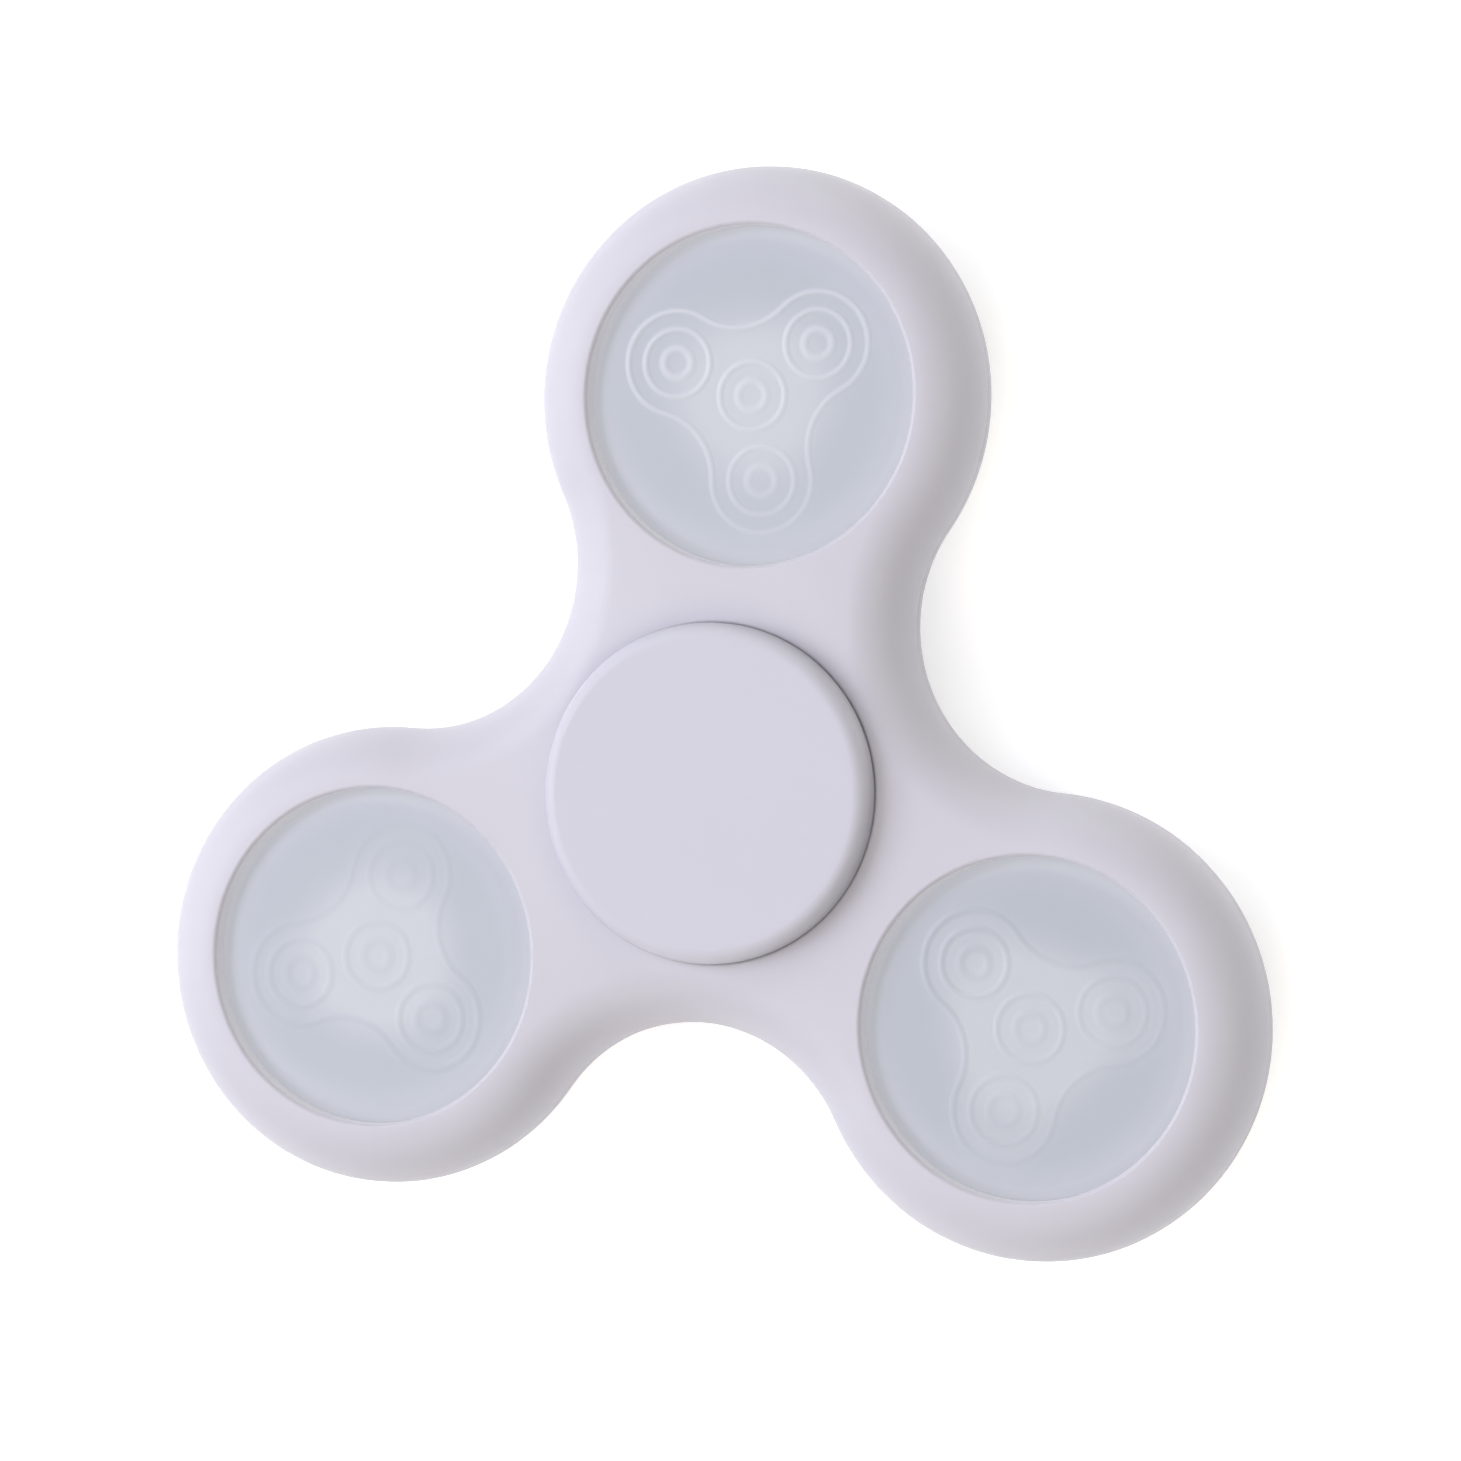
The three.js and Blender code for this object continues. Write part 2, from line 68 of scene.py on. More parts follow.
body_low, body_high = box_mm("body_shell")
MID_Z = (body_low.z + body_high.z) / 2
FACE = body_high.z - MID_Z  # half the body's thickness
lens_low, lens_high = box_mm("lens_a")
LOBE_PITCH = (lens_low.y + lens_high.y) / 2
LOBE_R = body_high.y - LOBE_PITCH
WAIST_REACH = LOBE_R  # from the spin axis to the nearest point of each waist
EDGE_ROUND = 3.7
POD_HOLE_R = 11.1
BEARING_SEAT_R = 11
HOLE_EDGE = 0.3  # rounding at the mouth of each hole

CAP_R = radius_mm("thumb_cap_front")
CAP_THICK = 1.76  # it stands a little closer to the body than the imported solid
CAP_ROUND = 1.0
CAP_BOSS_R = 5.6
STEM_R = 3.9

LENS_R = POD_HOLE_R - 0.02  # a closer fit in its well than the faceted solid has
LENS_RIM_TOP = FACE - 1.4  # heights in a pod are from the middle of the body's thickness
LENS_BEVEL = 1.6
LENS_BEVEL_RISE = 0.29
LENS_DOME_RISE = 0.06
LENS_UNDERSIDE = 1.75
LENS_SKIRT_BOTTOM = lens_low.z - MID_Z
LENS_SKIRT_INNER_R = 10.2
SNAP_BEAD_R = 9.95
SNAP_BEAD_TOP = 0.92

LARGE_STEPS, SMALL_STEPS = 144, 48  # steps round a turned piece

LOBE_ANGLES = {"a": 90, "b": 210, "c": 330}
EMBLEM_TURNS = {"a": 42, "b": 78, "c": 17}  # each frosted cap was pressed in at a turn of its own


def polar(radius, degrees):
    angle = math.radians(degrees)
    return Vector((radius * math.cos(angle), radius * math.sin(angle)))


# ---- Outlines and profiles ----


def arc(centre, radius, start, end, steps):
    """Points along an arc, both ends included, with their directions from its centre."""
    turns = [start + (end - start) * i / steps for i in range(steps + 1)]
    return [(Vector(centre) + polar(radius, turn), polar(1, turn)) for turn in turns]


def circle(centre, radius, steps):
    return arc(centre, radius, 0, 360, steps)[:-1]


class Trefoil:
    """Three lobes joined by three waists, all tangent arcs, about the origin."""

    def __init__(self, pitch, lobe_r, waist_reach, first_angle):
        self.pitch, self.lobe_r, self.first_angle = pitch, lobe_r, first_angle
        slack = lobe_r - waist_reach
        self.waist_pitch = (pitch**2 - slack**2) / (pitch + 2 * slack)
        self.waist_r = self.waist_pitch - waist_reach
        waist = polar(self.waist_pitch, 60)
        self.lobe_half = math.degrees(math.atan2(waist.y, waist.x - pitch))

    def points(self, lobe_steps, waist_steps):
        """Points round the outline, each with its outward direction."""
        made = []
        waist_half = self.lobe_half - 60
        for i in range(3):
            lobe = self.first_angle + 120 * i
            ends = lobe - self.lobe_half, lobe + self.lobe_half
            made += arc(polar(self.pitch, lobe), self.lobe_r, *ends, lobe_steps)[:-1]
            waist = lobe + 60
            ends = waist + 180 + waist_half, waist + 180 - waist_half
            inner = arc(polar(self.waist_pitch, waist), self.waist_r, *ends, waist_steps)[:-1]
            made += [(point, -away) for point, away in inner]
        return made

    def distance(self, point):
        """How far a point lies outside the outline; inside, it is negative."""
        turn = math.degrees(math.atan2(point.y, point.x)) - self.first_angle
        folded = abs((turn + 60) % 120 - 60)
        here = polar(point.length, folded)
        lobe, waist = Vector((self.pitch, 0)), polar(self.waist_pitch, 60)
        from_lobe = here - lobe
        if math.degrees(math.atan2(from_lobe.y, from_lobe.x)) <= self.lobe_half:
            return from_lobe.length - self.lobe_r
        return self.waist_r - (here - waist).length


def rounded(corners, steps=5):
    """A profile of (radius, height) corners, where a corner's third number is its rounding."""
    made = []
    for i, corner in enumerate(corners):
        here = Vector(corner[:2])
        if len(corner) < 3:
            made.append(here)
            continue
        before = (Vector(corners[i - 1][:2]) - here).normalized()
        after = (Vector(corners[(i + 1) % len(corners)][:2]) - here).normalized()
        half = before.angle(after) / 2
        centre = here + (before + after).normalized() * corner[2] / math.sin(half)
        reach = corner[2] / math.tan(half)
        first, last = here + before * reach - centre, here + after * reach - centre
        start = math.degrees(math.atan2(first.y, first.x))
        sweep = math.degrees(math.atan2(first.x * last.y - first.y * last.x, first.dot(last)))
        made += [point for point, _ in arc(centre, corner[2], start, start + sweep, steps)]
    return made


def triangulated(points, loops, keep):
    """Triangles over flat points that keep every loop's edges, where keep finds their centre inside."""
    edges = [(loop[i - 1], loop[i]) for loop in loops for i in range(len(loop))]
    _, _, faces, sources, _, _ = delaunay_2d_cdt(points, edges, [], 1, 1e-7, True)
    made = []
    for face in faces:
        corners = [sources[i][0] for i in face]
        if keep(sum((points[i] for i in corners), Vector((0, 0))) / 3):
            made.append(corners)
    return made


def smooth_step(value, low, high):
    share = min(1, max(0, (value - low) / (high - low)))
    return share * share * (3 - 2 * share)


def hex_grid(reach, spacing):
    """Points of an even triangular grid about the origin."""
    rise = spacing * math.sqrt(3) / 2
    rows = int(reach / rise) + 1
    columns = int(reach / spacing) + 1
    made = []
    for row in range(-rows, rows + 1):
        shift = spacing / 2 * (row % 2)
        for column in range(-columns, columns + 1):
            made.append(Vector((column * spacing + shift, row * rise)))
    return made


# ---- Meshes ----


class Surface:
    """A mesh in the making: vertices with their normals, in millimetres, and faces."""

    def __init__(self):
        self.places, self.normals, self.faces = [], [], []

    def vertex(self, place, normal):
        self.places.append(Vector(place))
        self.normals.append(Vector(normal).normalized())
        return len(self.places) - 1

    def ring(self, outline, inset, height, lean):
        """An outline moved in by inset, its normals leaning up by lean degrees from the flat."""
        up, out = math.sin(math.radians(lean)), math.cos(math.radians(lean))
        made = []
        for point, away in outline:
            place = point - away * inset
            made.append(self.vertex((*place, height), (away.x * out, away.y * out, up)))
        return made

    def bridge(self, upper, lower):
        for i in range(len(upper)):
            self.faces.append((upper[i - 1], upper[i], lower[i], lower[i - 1]))

    def fill(self, loops, free, keep=lambda point: True):
        """Faces between loops of vertices, and over free ones, where keep finds their centre inside."""
        indices = [i for loop in loops for i in loop] + free
        place_of = {vertex: i for i, vertex in enumerate(indices)}
        points = [self.places[i].xy for i in indices]
        edges = [[place_of[i] for i in loop] for loop in loops]
        for face in triangulated(points, edges, keep):
            self.faces.append([indices[i] for i in face])

    def mesh(self, name):
        made = bpy.data.meshes.new(name)
        made.from_pydata([place * MM for place in self.places], [], self.faces)
        work = bmesh.new()
        work.from_mesh(made)
        bmesh.ops.recalc_face_normals(work, faces=work.faces)
        work.to_mesh(made)
        work.free()
        made.shade_smooth()
        made.normals_split_custom_set_from_vertices(self.normals)
        return made


def turned(name, profile, steps, sharp=35, swell=lambda radius, height, angle: 0):
    """A closed or axis-to-axis profile of (radius, height) points turned about the Z axis.
    At each point the radius can swell by an amount of its own."""
    work = bmesh.new()
    rows = []
    for radius, height in profile:
        if abs(radius) < 1e-6:
            rows.append([work.verts.new((0, 0, height * MM))] * steps)
            continue
        angles = [360 * i / steps for i in range(steps)]
        spots = [polar((radius + swell(radius, height, angle)) * MM, angle) for angle in angles]
        rows.append([work.verts.new((*spot, height * MM)) for spot in spots])
    closed = profile[0][0] > 1e-6
    for i in range(0 if closed else 1, len(rows)):
        upper, lower = rows[i - 1], rows[i]
        for j in range(steps):
            corners = [upper[j - 1], upper[j], lower[j], lower[j - 1]]
            kept = list(dict.fromkeys(corners))
            if len(kept) > 2:
                work.faces.new(kept)
    bmesh.ops.recalc_face_normals(work, faces=work.faces)
    return smoothed(name, work, sharp)


def smoothed(name, work, sharp=35):
    """Shades a bmesh smooth except across edges sharper than the angle, and makes it a mesh."""
    for edge in work.edges:
        edge.smooth = len(edge.link_faces) < 2 or edge.calc_face_angle() < math.radians(sharp)
    made = bpy.data.meshes.new(name)
    work.to_mesh(made)
    work.free()
    for face in made.polygons:
        face.use_smooth = True
    return made


def place(mesh, material, body, slot, replaces=(), at=(0, 0, 0), turn=0, weighted=True):
    """Puts a finished mesh at a millimetre place in the row frame, and has it ride on a body."""
    piece = bpy.data.objects.new(mesh.name, mesh)
    bpy.context.scene.collection.objects.link(piece)
    mesh.materials.append(material)
    piece.location = Vector(at) * MM
    piece.rotation_euler.z = math.radians(turn)
    if weighted:
        even = piece.modifiers.new("even_normals", "WEIGHTED_NORMAL")
        even.keep_sharp = True
    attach(piece, body)
    if replaces:
        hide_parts(*replaces)
    return piece


# ---- Materials ----


class Look:
    """A node material with a Principled shader, and short ways to build its patterns."""

    def __init__(self, name, roughness, metallic=0.0, **constants):
        self.material = bpy.data.materials.new(name)
        self.material.use_nodes = True
        self.nodes, self.links = self.material.node_tree.nodes, self.material.node_tree.links
        self.shader = self.nodes["Principled BSDF"]
        self.shader.inputs["Metallic"].default_value = metallic
        self.shader.inputs["Roughness"].default_value = roughness
        for socket, value in constants.items():
            self.shader.inputs[socket.replace("_", " ")].default_value = value
        self.place = self.nodes.new("ShaderNodeTexCoord").outputs["Object"]

    def node(self, kind, inputs=None, **settings):
        made = self.nodes.new(kind)
        for name, value in settings.items():
            setattr(made, name, value)
        for socket, value in (inputs or {}).items():
            if isinstance(value, bpy.types.NodeSocket):
                self.links.new(value, made.inputs[socket])
            else:
                made.inputs[socket].default_value = value
        return made

    def noise(self, per_mm, detail=3.0, stretch=(1, 1, 1), roughness=0.5):
        """Noise from 0 to 1, with about so many features to the millimetre."""
        scaled = self.node("ShaderNodeMapping", {"Vector": self.place, "Scale": stretch})
        inputs = {
            "Vector": scaled.outputs[0],
            "Scale": per_mm / MM,
            "Detail": detail,
            "Roughness": roughness,
        }
        return self.node("ShaderNodeTexNoise", inputs).outputs["Fac"]

    def ranged(self, value, low, high, from_low=0.3, from_high=0.7):
        inputs = {
            "Value": value,
            "From Min": from_low,
            "From Max": from_high,
            "To Min": low,
            "To Max": high,
        }
        return self.node("ShaderNodeMapRange", inputs).outputs[0]

    def mixed(self, factor, first, second):
        made = self.node("ShaderNodeMix", data_type="RGBA")
        for socket, value in ((0, factor), (6, first), (7, second)):
            if isinstance(value, bpy.types.NodeSocket):
                self.links.new(value, made.inputs[socket])
            elif socket == 0:
                made.inputs[socket].default_value = value
            else:
                made.inputs[socket].default_value = (*value, 1)
        return made.outputs[2]

    def attribute(self, name):
        return self.node("ShaderNodeAttribute", attribute_name=name).outputs["Fac"]

    def colour(self, value):
        self.links.new(value, self.shader.inputs["Base Color"])

    def glow(self, share, strength, tint=(1, 1, 1)):
        """Light that comes out of the plastic where the share, from 0 to 1, says so."""
        self.shader.inputs["Emission Color"].default_value = (*tint, 1)
        self.links.new(self.ranged(share, 0, strength, 0, 1), self.shader.inputs["Emission Strength"])

    def rough(self, value):
        self.links.new(value, self.shader.inputs["Roughness"])

    def bump(self, height, depth_mm, strength=1.0):
        inputs = {"Height": height, "Distance": depth_mm * MM, "Strength": strength}
        if self.shader.inputs["Normal"].is_linked:
            inputs["Normal"] = self.shader.inputs["Normal"].links[0].from_socket
        made = self.node("ShaderNodeBump", inputs)
        self.links.new(made.outputs[0], self.shader.inputs["Normal"])


def moulded(name, tint, roughness, spread=0.02, grain=0.004, painted_well_light_tint=None, **constants):
    """Moulded plastic: its colour drifts a little, with a fine spark-eroded grain and small scuffs.
    Its wells' walls can take a paler tint and a faint glow: painted light for what soaks through there."""
    look = Look(name, roughness, **constants)
    shade = tuple(value * (1 - spread) for value in tint)
    drift = look.ranged(look.noise(0.12, detail=2.0), 0, 1)
    fine = look.noise(9, detail=2.0)
    speckle = look.ranged(look.noise(4, detail=4.0), 0, 0.35)
    base = look.mixed(drift, tint, shade)
    speckled = look.mixed(speckle, base, tuple(value * 0.985 for value in tint))
    # Painted light in the wells: a paler tint and a glow on the hole walls, lifting the shade there.
    if painted_well_light_tint:
        speckled = look.mixed(look.attribute("well"), speckled, painted_well_light_tint)
        look.glow(look.attribute("well"), WELL_GLOW)
    look.colour(speckled)
    scuffs = look.noise(0.5, detail=6.0, stretch=(1, 3, 1), roughness=0.7)
    look.rough(look.ranged(scuffs, roughness - 0.05, roughness + 0.06))
    look.bump(fine, grain)
    look.bump(look.noise(0.08, detail=1.0), 0.02)
    return look.material


BODY_TINT = (0.512, 0.496, 0.554)
CAP_TINT = (0.510, 0.497, 0.563)
# Painted light: the paler tint the walls of the wells take, lifting the shade that falls in them.
WELL_PAINTED_LIGHT_TINT = (0.60, 0.58, 0.65)
WELL_GLOW = 0.16  # painted glow standing in for the light that soaks through the walls of the wells
POD_TINT = (0.515, 0.505, 0.54)
LENS_TINT = (0.413, 0.435, 0.486)
# The colour where the pale well is painted as shining through a frosted cap: painted light.
LENS_GLOW = (0.496, 0.509, 0.553)
RIM_SHADE = 0.45  # painted shade: the rim of each frosted cap is painted darker, so it takes less light from the lamps
RIM_PAINTED_GLOW, RIM_PAINTED_GLOW_TINT = 0.37, (0.90, 0.92, 1.0)  # and a painted glow gives it even light instead, lifting the shade the well's wall casts on it

body_look = moulded("body_plastic", BODY_TINT, 0.5, painted_well_light_tint=WELL_PAINTED_LIGHT_TINT)
cap_look = moulded("cap_plastic", CAP_TINT, 0.55)
pod_look = moulded("pod_plastic", POD_TINT, 0.5)


def frosted(name, shade, painted_line_tint):
    """Frosted clear plastic over a pale well: cool, with a painted patch of light under the middle, and
    at its rim a darker base under a painted glow that lifts the shade there."""
    look = Look(name, 0.42, Specular_IOR_Level=0.35)
    drift = look.ranged(look.noise(0.18, detail=2.0), 0, 1)
    tint, glow = [tuple(value * shade for value in colour) for colour in (LENS_TINT, LENS_GLOW)]
    base = look.mixed(drift, tint, tuple(value * 0.98 for value in tint))
    # Painted light: paler where the well is painted as shining through, and in bands near the rim.
    lit = look.mixed(look.attribute("glow"), base, glow)
    lined = look.mixed(look.attribute("line"), lit, painted_line_tint)
    # Painted light at the rim: a darker base under a painted glow that lifts the shade there.
    look.colour(look.mixed(look.attribute("rim"), lined, tuple(value * RIM_SHADE for value in glow)))
    look.glow(look.attribute("rim"), RIM_PAINTED_GLOW * shade, RIM_PAINTED_GLOW_TINT)
    look.rough(look.ranged(look.noise(1.5, detail=4.0), 0.38, 0.47))
    look.bump(look.noise(12, detail=2.0), 0.003)
    return look.material


# One plastic in three lit and shaded copies: cap a's lines take a painted highlight, b's and c's painted
# shade, and c is painted a little darker all over.
FROSTED = {
    "a": frosted("lens_a_frost", 1.0, (0.557, 0.567, 0.615)),
    "b": frosted("lens_b_frost", 1.0, (0.40, 0.42, 0.47)),
    "c": frosted("lens_c_frost", 0.965, (0.38, 0.40, 0.45)),
}


# ---- Body ----

OUTLINE = Trefoil(LOBE_PITCH, LOBE_R, WAIST_REACH, LOBE_ANGLES["a"])
LOBE_STEPS, WAIST_STEPS, EDGE_STEPS, HOLE_STEPS, MOUTH_STEPS = 96, 40, 14, 96, 4
BODY_MESH_SPACING = 1.6
PARTING_RISE = 0.03  # the mould's halves left a fine ridge round the middle
PARTING_LINE = [(0, 0.09, 0), (0, 0.06, 35)]  # above the ridge: inset, height and lean of the normal
CROWN_DROP = 0.37  # how far the faces fall at the outline
CROWN_REACH = 8  # how far in from the outline the fall starts


def body_mesh():
    made = Surface()
    outline = OUTLINE.points(LOBE_STEPS, WAIST_STEPS)
    flat = FACE - EDGE_ROUND
    shoulder = []
    for i in range(EDGE_STEPS + 1):
        lean = 90 - 90 * i / EDGE_STEPS
        inset = EDGE_ROUND * (1 - math.cos(math.radians(lean)))
        shoulder.append((inset, flat + EDGE_ROUND * math.sin(math.radians(lean)), lean))
    upper_rows = shoulder + PARTING_LINE
    lower_rows = [(inset, -height, -lean) for inset, height, lean in reversed(upper_rows)]
    rings = [made.ring(outline, *row) for row in upper_rows + [(-PARTING_RISE, 0, 0)] + lower_rows]
    for upper, lower in zip(rings, rings[1:]):
        made.bridge(upper, lower)

    holes = [(Vector((0, 0)), BEARING_SEAT_R)]
    holes += [(polar(LOBE_PITCH, angle), POD_HOLE_R) for angle in LOBE_ANGLES.values()]
    loops = {1: [rings[0]], -1: [rings[-1]]}
    for centre, radius in holes:
        wall = [(point, -away) for point, away in circle(centre, radius, HOLE_STEPS)]
        mouth = [(1, MOUTH_STEPS - i) for i in range(MOUTH_STEPS + 1)]
        mouth += [(-1, i) for i in range(MOUTH_STEPS + 1)]
        hole_rings = []
        for side, step in mouth:
            lean = 90 * step / MOUTH_STEPS
            widen = HOLE_EDGE * (1 - math.cos(math.radians(lean)))
            height = FACE - HOLE_EDGE * (1 - math.sin(math.radians(lean)))
            hole_rings.append(made.ring(wall, widen, side * height, side * lean))
        for upper, lower in zip(hole_rings, hole_rings[1:]):
            made.bridge(upper, lower)
        loops[1].append(hole_rings[0])
        loops[-1].append(hole_rings[-1])

    clear = 0.35 * BODY_MESH_SPACING

    def solid_at(point, margin=0):
        inside = OUTLINE.distance(point) < -EDGE_ROUND - margin
        mouths = [(point - centre).length - radius - HOLE_EDGE for centre, radius in holes]
        return inside and min(mouths) > margin

    grid = hex_grid(LOBE_PITCH + LOBE_R, BODY_MESH_SPACING)
    free = [point for point in grid if solid_at(point, clear)]
    for side in (1, -1):
        inner = [made.vertex((*point, side * FACE), (0, 0, side)) for point in free]
        made.fill(loops[side], inner, solid_at)
    # Each vertex's share of the wells' painted light: the hole walls past the mouth's rounding get it.
    well_light_shares = []
    for spot in made.places:
        nearest = min((spot.xy - centre).length - radius for centre, radius in holes)
        in_hole = nearest < HOLE_EDGE + 1e-4
        well_light_shares.append(smooth_step(FACE - abs(spot.z), 0.05, HOLE_EDGE) if in_hole else 0)
    crown(made)
    mesh = made.mesh("body")
    well = mesh.attributes.new("well", "FLOAT", "POINT")
    for i, depth in enumerate(well_light_shares):
        well.data[i].value = depth
    return mesh


def crown(made):
    """Lets both faces fall gently towards the outline, and turns the normals with them."""
    step = 0.01
    for i, spot in enumerate(made.places):
        here = spot.xy
        share = max(0, 1 + OUTLINE.distance(here) / CROWN_REACH)
        if not share:
            continue
        slopes = []
        for along in (Vector((step, 0)), Vector((0, step))):
            change = OUTLINE.distance(here + along) - OUTLINE.distance(here - along)
            slopes.append(-2 * CROWN_DROP / CROWN_REACH * share * change / (2 * step) / FACE)
        scale = 1 - CROWN_DROP * share**2 / FACE
        normal = made.normals[i]
        tilt = spot.z * normal.z / scale
        leaning = (normal.x - tilt * slopes[0], normal.y - tilt * slopes[1], normal.z / scale)
        made.normals[i] = Vector(leaning).normalized()
        spot.z *= scale


place(body_mesh(), body_look, "rotor", "body_plastic", ["body_shell"], (0, 0, MID_Z), weighted=False)


# ---- Thumb caps ----


def cap_profile():
    """The rear cap, its stem pointing up from the origin."""
    boss_top = MID_Z - 3.51  # it stops just short of the bearing's inner ring
    stem_top = MID_Z - 0.2  # so that the two stems don't touch
    return rounded(
        [
            (0, 0),
            (CAP_R, 0, CAP_ROUND),
            (CAP_R, CAP_THICK, 0.03),
            (CAP_BOSS_R, CAP_THICK, 0.15),
            (CAP_BOSS_R, boss_top, 0.2),
            (STEM_R, boss_top, 0.1),
            (STEM_R, stem_top, 0.4),
            (0, stem_top),
        ],
        8,
    )


for side, height, flip in (("rear", 0, 1), ("front", 2 * MID_Z, -1)):
    profile = [(radius, flip * z) for radius, z in cap_profile()]
    cap = turned(f"thumb_cap_{side}_shell", profile, LARGE_STEPS)
    place(cap, cap_look, "hub", "cap_plastic", [f"thumb_cap_{side}"], (0, 0, height))


# ---- Frosted caps ----

EMBLEM_PITCH = 5.58
EMBLEM_LOBE_R = 3.4
EMBLEM_WAIST = 4.5
LINE_HALF = 0.25  # half the width of a raised line
BOSS_LINE_HALF = 0.34
RING_R, BOSS_RING_R = 2.22, 0.95
EMBLEM_STEPS = (34, 12)  # along each lobe and each waist of the emblem's outline
RING_STEPS, BOSS_RING_STEPS = 48, 32
LENS_STEPS = 180
LENS_TOP_R = 9.45  # the emblem and the mesh that carries it lie inside this
LENS_MESH_SPACING = 0.42
RIM_WIDTH = 1.1  # how far in from its edge a frosted cap takes its darker rim and painted glow
LINE_TINT = 0.85  # how far a line takes on its painted tint: a painted highlight on cap a, painted shade on caps b and c
DEEP_SIDE_GAIN = 0.38  # the share of an emblem's height lost from its deeper side to the middle
GLOW_CORE_R, GLOW_END_R = 3, 7.2  # the painted light under the middle is even inside one, gone outside the other
OUTLINE_FADE = 1.2  # how far each side of the emblem's outline the painted light inside it fades
RIM_GLOW = 0.4  # painted light that lifts the shade near the rim, gained over each of two bands that end there
RIM_GLOW_STARTS, RIM_GLOW_END = (8.2, 9.5), 10.7


def dome(radius):
    """Height and slope of the frosted cap's top above its rim."""
    flat_r = LENS_R - LENS_BEVEL
    if radius < flat_r:
        share = radius / flat_r
        rise = LENS_BEVEL_RISE + LENS_DOME_RISE * (1 - share**2)
        return LENS_RIM_TOP + rise, -2 * LENS_DOME_RISE * share / flat_r
    share = (radius - flat_r) / LENS_BEVEL
    start = -2 * LENS_DOME_RISE / flat_r * LENS_BEVEL
    rest = -LENS_BEVEL_RISE - start
    return (
        LENS_RIM_TOP + LENS_BEVEL_RISE + start * share + rest * share**2,
        (start + 2 * rest * share) / LENS_BEVEL,
    )


class Emblem:
    """Raised lines on a frosted cap: the toy's own outline, with two rings at each round place."""

    def __init__(self, turn, relief, widen, shine, filled, deep_side, fade):
        self.deep_side = polar(DEEP_SIDE_GAIN / LENS_R, deep_side)
        self.outline = Trefoil(EMBLEM_PITCH, EMBLEM_LOBE_R, EMBLEM_WAIST, turn)
        self.relief, self.widen, self.fade = relief, widen, fade
        self.shine, self.filled = shine, filled
        centres = [Vector((0, 0))] + [polar(EMBLEM_PITCH, turn + 120 * i) for i in range(3)]
        self.rings = [(centre, RING_R, LINE_HALF, RING_STEPS) for centre in centres]
        self.rings += [(centre, BOSS_RING_R, BOSS_LINE_HALF, BOSS_RING_STEPS) for centre in centres]

    def nearest(self, point):
        """The signed distance to the nearest line's middle as a share of that line's half width."""
        found = [self.outline.distance(point) / (LINE_HALF * self.widen)]
        for centre, radius, half, _ in self.rings:
            found.append(((point - centre).length - radius) / (half * self.widen))
        return min(found, key=abs)

    def bump(self, point):
        """The share of its full height that the emblem has here, less on the lightly pressed side."""
        share = abs(self.nearest(point))
        if share >= 1:
            return 0.0
        depth = 1 - DEEP_SIDE_GAIN + self.deep_side.dot(point)
        return depth * (0.5 + 0.5 * math.cos(math.pi * share))

    def loops(self, across):
        """Loops along every line, at each share of the half width."""
        made = []
        for share in across:
            outline = self.outline.points(*EMBLEM_STEPS)
            offset = share * LINE_HALF * self.widen
            made.append([point + away * offset for point, away in outline])
            for centre, radius, half, steps in self.rings:
                ring = circle(centre, radius + share * half * self.widen, steps)
                made.append([point for point, _ in ring])
        return made


def lens_top(made, rim, emblem):
    """The domed top inside the rim's ring, with the emblem raised on it."""
    across = (-1, -0.72, -0.44, -0.18, 0.18, 0.44, 0.72, 1)  # shares of a line's half width
    clear_of_line = 1.7  # in half widths too
    step = 1e-3

    def height(point):
        return dome(point.length)[0] + emblem.relief * emblem.bump(point)

    def add(point):
        along_x, along_y = Vector((step, 0)), Vector((0, step))
        slope_x = (height(point + along_x) - height(point - along_x)) / (2 * step)
        slope_y = (height(point + along_y) - height(point - along_y)) / (2 * step)
        return made.vertex((*point, height(point)), (-slope_x, -slope_y, 1))

    loops = [rim]
    for loop in emblem.loops(across):
        loops.append([add(point) for point in loop])
    inner = LENS_TOP_R - 0.25
    grid = [point for point in hex_grid(LENS_TOP_R, LENS_MESH_SPACING) if point.length < inner]
    made.fill(loops, [add(point) for point in grid if abs(emblem.nearest(point)) > clear_of_line])


def lens_rows():
    """The frosted cap's section as (radius, height, lean of the normal), from the flat part of its top
    out over the bevel, down its side and up inside its skirt."""
    corner, bevel_steps, corner_steps = 0.06, 5, 4
    slope = dome(LENS_R - corner / 2)[1]
    edge_lean = 90 + math.degrees(math.atan(slope))
    corner_start = LENS_R - corner * (1 - math.cos(math.radians(edge_lean)))
    corner_height = dome(corner_start)[0] - corner * math.sin(math.radians(edge_lean))
    rows = []
    for i in range(bevel_steps):
        radius = LENS_TOP_R + (corner_start - LENS_TOP_R) * i / bevel_steps
        height, slope = dome(radius)
        rows.append((radius, height, 90 + math.degrees(math.atan(slope))))
    for i in range(corner_steps + 1):
        lean = edge_lean * (1 - i / corner_steps)
        out, up = math.cos(math.radians(lean)), math.sin(math.radians(lean))
        rows.append((LENS_R - corner * (1 - out), corner_height + corner * up, lean))
    return rows + [
        (LENS_R, LENS_SKIRT_BOTTOM + 0.1, 0),
        (LENS_R - 0.03, LENS_SKIRT_BOTTOM + 0.03, -45),
        (LENS_R - 0.1, LENS_SKIRT_BOTTOM, -90),
        (SNAP_BEAD_R + 0.1, LENS_SKIRT_BOTTOM, -90),
        (SNAP_BEAD_R, LENS_SKIRT_BOTTOM + 0.1, 180),
        (SNAP_BEAD_R, SNAP_BEAD_TOP, 180),
        (LENS_SKIRT_INNER_R, SNAP_BEAD_TOP + 0.05, 180),
        (LENS_SKIRT_INNER_R, LENS_UNDERSIDE - 0.15, 180),
        (LENS_SKIRT_INNER_R - 0.15, LENS_UNDERSIDE, -90),
        (4, LENS_UNDERSIDE, -90),
    ]


